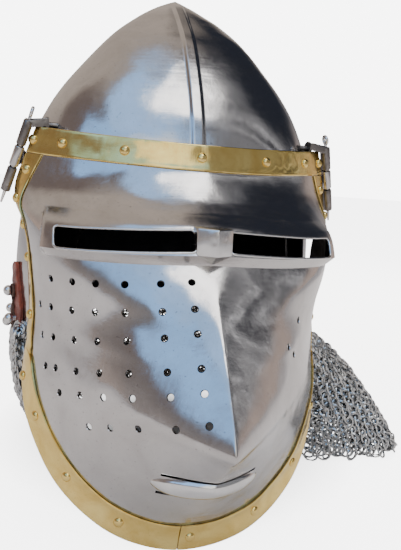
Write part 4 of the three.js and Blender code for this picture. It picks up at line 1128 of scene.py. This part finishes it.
STEEL = metal("polished_steel", (0.63, 0.61, 0.6), (0.5, 0.475, 0.46), (0.08, 0.19))
# Near-black steel for the faces inside the skull and visor.
INNER_STEEL = metal("near_black_inner_steel", (0.035, 0.035, 0.04), (0.015, 0.015, 0.018), (0.45, 0.65))
# A lighter copy of the polished steel for the eye slot lips, nose bridge, mouth bar, hinge wire and studs.
# Its deeper hammer marks are real; its lighter colour is a painted highlight.
PAINTED_HIGHLIGHT_STEEL = metal("hammered_steel_painted_highlight", (0.8, 0.79, 0.78), (0.6, 0.59, 0.58), (0.12, 0.26), mark=150.0,
                     mark_depth=0.00035)
BRASS = metal("sheet_brass", (0.96, 0.75, 0.28), (0.72, 0.48, 0.13), (0.09, 0.2), cloud=42.0, mark=110.0,
              mark_depth=0.0004)
DARK_STEEL = metal("forged_iron", (0.3, 0.28, 0.27), (0.13, 0.115, 0.105), (0.24, 0.42), cloud=110.0,
                   mark=240.0)
WIRE_STEEL = metal("steel_wire", (0.68, 0.68, 0.67), (0.36, 0.36, 0.36), (0.16, 0.32), cloud=120.0,
                   mark=400.0, mark_depth=0.00005)
LEATHER = leather_material()
THONG = lace_material()


# Camera, at the photograph's angle. Its place is a distance from the helmet along its view.
CAMERA_AZIMUTH = math.radians(-17.2)
CAMERA_ELEVATION = math.radians(11)
CAMERA_ROLL = math.radians(4.91)
CAMERA_FOCAL = 639
CAMERA_DISTANCE = 471.96
CAMERA_ASIDE = 16.9
CAMERA_LIFT = -86.5
FRAME_HEIGHT = 550
SENSOR = 36


def make_camera():
    a, e, r = CAMERA_AZIMUTH, CAMERA_ELEVATION, CAMERA_ROLL
    ahead = Vector((-math.sin(a) * math.cos(e), math.cos(a) * math.cos(e), -math.sin(e)))
    level = Vector((math.cos(a), math.sin(a), 0))
    right = math.cos(r) * level + math.sin(r) * level.cross(ahead)
    up = right.cross(ahead)
    aim = Vector(SHIFT) + Vector((0, 0, CAMERA_LIFT))
    place = (CAMERA_ASIDE * right - CAMERA_DISTANCE * ahead + aim) / 1000
    data = bpy.data.cameras.new("camera")
    data.sensor_width = SENSOR
    data.lens = CAMERA_FOCAL * SENSOR / FRAME_HEIGHT
    data.clip_start = 0.01
    camera = bpy.data.objects.new("camera", data)
    turn = Matrix((right, up, -ahead)).transposed().to_4x4()
    camera.matrix_world = Matrix.Translation(place) @ turn
    bpy.context.scene.collection.objects.link(camera)
    bpy.context.scene.camera = camera


# Studio: pale floor, soft lights, and a surrounding of large soft cards that the steel mirrors.
# Each card is a direction, the cosines at which it fades out and is full, and a colour.
CARDS = [
    {"name": "hall behind", "to": (-0.2, 0.6, 0.77), "fade": (0.5, 0.85), "colour": (0.68, 0.59, 0.51)},
    {"name": "brown screen", "to": (-0.8, -0.12, 0.58), "fade": (0.84, 0.95), "colour": (0.25, 0.2, 0.18)},
    {"name": "warm wall", "to": (-0.85, 0.4, -0.3), "fade": (0.72, 0.93), "colour": (0.7, 0.55, 0.47)},
    {"name": "right wall", "to": (0.93, 0.3, -0.15), "fade": (0.82, 0.94), "colour": (0.66, 0.53, 0.47)},
    {"name": "streaked side", "to": (0.72, -0.3, 0.62), "fade": (0.72, 0.85), "colour": None},
    {"name": "night side", "to": (0.65, 0.3, 0.7), "fade": (0.84, 0.93), "colour": (0.03, 0.035, 0.05)},
    {"name": "low sky", "to": (-0.6, -0.58, 0.55), "fade": (0.94, 0.965), "colour": (0.55, 1.0, 1.75)},
    {"name": "front sky", "to": (-0.1, -0.72, 0.69), "fade": (0.925, 0.955), "colour": (0.6, 1.0, 1.65)},
    {"name": "high sky", "to": (-0.05, -0.45, 0.89), "fade": (0.905, 0.935), "colour": (0.65, 1.05, 1.7)},
    {"name": "front window", "to": (-0.1, -0.9, 0.38), "fade": (0.93, 0.975), "colour": (1.7, 1.7, 1.6)},
    {"name": "lamp", "to": (0.2, -0.36, 0.91), "fade": (0.968, 0.985), "colour": (4.5, 4.5, 4.5)},
]
# Streaks across the right side, as a height over a slanted plane and a brightness
STREAK_PLANE = (-0.085, 0.862, 0.498)
STREAKS = [(-0.25, 0.3), (-0.18, 0.06), (-0.15, 0.75), (-0.13, 0.75), (-0.1, 0.07), (-0.03, 0.08),
           (-0.01, 0.95), (0.012, 0.95), (0.035, 0.12), (0.08, 0.35), (0.15, 0.12), (0.25, 0.3),
           (0.31, 0.55), (0.37, 0.06), (0.45, 0.04)]


def dotted(tree, way, aim):
    node = add(tree, "ShaderNodeVectorMath", {0: way, 1: aim}, operation="DOT_PRODUCT")
    return node.outputs["Value"]


def streaks(tree, way):
    low, high = STREAKS[0][0], STREAKS[-1][0]
    ramp = add(tree, "ShaderNodeValToRGB", {0: mapped(tree, dotted(tree, way, STREAK_PLANE), low, high)})
    stops = ramp.color_ramp.elements
    while len(stops) < len(STREAKS):
        stops.new(1.0)
    for stop, (place, light) in zip(stops, STREAKS):
        stop.position = (place - low) / (high - low)
        stop.color = (light, 1.01 * light, 1.04 * light + 0.01, 1)
    return ramp.outputs["Color"]


def make_studio():
    world = bpy.data.worlds.new("studio")
    bpy.context.scene.world = world
    world.use_nodes = True
    tree = world.node_tree
    tree.nodes.clear()
    way = add(tree, "ShaderNodeTexCoord").outputs["Generated"]
    rough = add(tree, "ShaderNodeTexNoise", {"Vector": way, "Scale": 3.5, "Detail": 4.0}).outputs["Color"]
    off = add(tree, "ShaderNodeVectorMath", {0: rough, 1: (0.5, 0.5, 0.5)}, operation="SUBTRACT").outputs[0]
    way = add(tree, "ShaderNodeVectorMath", {0: way, 1: stretched(tree, off, (0.16, 0.16, 0.16))}).outputs[0]
    height = add(tree, "ShaderNodeSeparateXYZ", {0: way}).outputs[2]
    colour = mixed(tree, mapped(tree, height, -0.25, 0.25), (0.5, 0.42, 0.38, 1), (0.27, 0.26, 0.27, 1))
    for card in CARDS:
        share = mapped(tree, dotted(tree, way, Vector(card["to"]).normalized()), *card["fade"])
        colour = mixed(tree, share, colour, (*card["colour"], 1) if card["colour"] else streaks(tree, way))
    seen = add(tree, "ShaderNodeLightPath").outputs["Is Camera Ray"]
    colour = mixed(tree, seen, colour, (7.0, 7.0, 7.0, 1))
    background = add(tree, "ShaderNodeBackground", {"Color": colour, "Strength": 1.0})
    output = add(tree, "ShaderNodeOutputWorld")
    tree.links.new(background.outputs[0], output.inputs["Surface"])


def make_light(name, place, aim, size, power, colour=(1, 1, 1)):
    data = bpy.data.lights.new(name, "AREA")
    data.size = size
    data.energy = power
    data.color = colour
    light = bpy.data.objects.new(name, data)
    light.location = place
    light.rotation_euler = (Vector(aim) - Vector(place)).to_track_quat("-Z", "Y").to_euler()
    light.visible_glossy = False
    bpy.context.scene.collection.objects.link(light)


# The floor glows pale to the camera, and a painted shadow under the hollow helmet takes that glow away
# there. The painted shadow ends between two distances in metres.
PAINTED_SHADOW_MIDDLE = (-0.02, 0.07, 0)
FLOOR_PAINTED_SHADOW = (0.05, 0.17)


def make_floor():
    material, tree, place, shader = new_material("pale_floor")
    tone = noise_at(tree, place, 3.0, 4.0)
    tone = mixed(tree, tone, (0.72, 0.67, 0.63, 1), (0.77, 0.72, 0.68, 1))
    # Painted shadow: the floor's glow to camera rays fades out towards the middle under the helmet, so only
    # the lamp-lit floor shows there.
    seen = add(tree, "ShaderNodeLightPath").outputs["Is Camera Ray"]
    apart = add(tree, "ShaderNodeVectorMath", {0: place, 1: PAINTED_SHADOW_MIDDLE}, operation="DISTANCE")
    outside_painted_shadow = mapped(tree, apart.outputs["Value"], *FLOOR_PAINTED_SHADOW)
    glow_with_painted_shadow = mixed(tree, outside_painted_shadow, (0, 0, 0, 1), (1, 1, 1, 1))
    tree.links.new(maths(tree, "MULTIPLY", seen, 5.0), shader["Emission Strength"])
    tree.links.new(glow_with_painted_shadow, shader["Emission Color"])
    tree.links.new(tone, shader["Base Color"])
    shader["Roughness"].default_value = 0.8
    half = 4000
    x, y = np.meshgrid([-half, half], [-half, half], indexing="ij")
    top = stack(x, y, FLOOR - 0.3) * 1.0
    floor = new_mesh("floor", wall(top, top - [0, 0, 20.0]))
    floor.data.materials.append(material)


make_camera()
make_floor()
make_studio()
make_light("key", (-0.9, -1.1, 1.5), (0, 0, 0.2), 0.5, 16)
make_light("top", (0.1, 0.2, 1.7), (0, 0, 0.2), 0.9, 12)
make_light("edge", (0.9, 0.7, 0.7), (0, 0, 0.2), 0.4, 7)

# Pieces
finish_piece(skull_piece(), "helmet", STEEL, ["skull"])
finish_piece(visor_piece(), "visor", STEEL, ["visor"])
finish_piece(new_mesh("eye_slot_lips", slot_lips()), "visor", PAINTED_HIGHLIGHT_STEEL)
bridge = bevelled(new_mesh("nose_bridge", nose_bridge(), 20), 0.9, crease=20)
finish_piece(bridge, "visor", PAINTED_HIGHLIGHT_STEEL)
bar = mouth_strip(MOUTH_DROP, MOUTH_DROP + MOUTH_BAR_WIDTH, MOUTH_HALF_LENGTH, -0.6, MOUTH_BAR_RISE,
                  taper=0.75)
finish_piece(new_mesh("mouth_bar", bar), "visor", PAINTED_HIGHLIGHT_STEEL)
finish_piece(new_mesh("brow_edging", brow_trim()), "visor", BRASS, ["brow_trim"])
joint_across = abs(float(visor_place(-TRIM_JOINT_SIDE, -0.99 * CHIN_DROP)[0]))
for name, side in SIDES.items():
    strip = new_mesh(f"side_edging_{name}", side_trim(side))
    finish_piece(strip, "visor", BRASS, [f"side_trim_{name}"])
    span = (-1, -joint_across - 0.002) if side < 0 else (-joint_across + 0.002, 1)
    strip = new_mesh(f"chin_edging_{name}", chin_trim(*span))
    finish_piece(strip, "visor", BRASS, [f"chin_trim_{name}"])
finish_piece(new_mesh("edging_rivets", edge_rivets()), "visor", BRASS, nodes_named("rivet_"))

hinge_parts = {
    "hinge_arm": (hinge_arm, "visor", DARK_STEEL, "dark_steel", ("pivot_arm",)),
    "hinge_plate": (hinge_leaf, "visor", STEEL, "steel", ("hinge_leaf",)),
    "hinge_wire": (hinge_pin, "visor", PAINTED_HIGHLIGHT_STEEL, "steel", ("hinge_pin",)),
    "hinge_bolt": (hinge_bolt, "helmet", DARK_STEEL, "dark_steel", ("pivot_bolt",)),
}
for part, (form, body, material, slot, stands_for) in hinge_parts.items():
    for name, side in SIDES.items():
        made = new_mesh(f"{part}_{name}", form() if side > 0 else mirrored(form()))
        finish_piece(made, body, material, [f"{node}_{name}" for node in stands_for])

finish_piece(new_mesh("leather_strap", leather_band()), "helmet", LEATHER, ["leather_band"])
finish_piece(new_mesh("studs", vervelles()), "helmet", PAINTED_HIGHLIGHT_STEEL, nodes_named("vervelle_"))
finish_piece(new_mesh("lace", lace()), "helmet", THONG)
for band in range(4):
    made = new_mesh(f"mail_rings_{band + 1}", mail_rings(band))
    finish_piece(made, "helmet", WIRE_STEEL, ["mail_curtain"] if band == 0 else [])
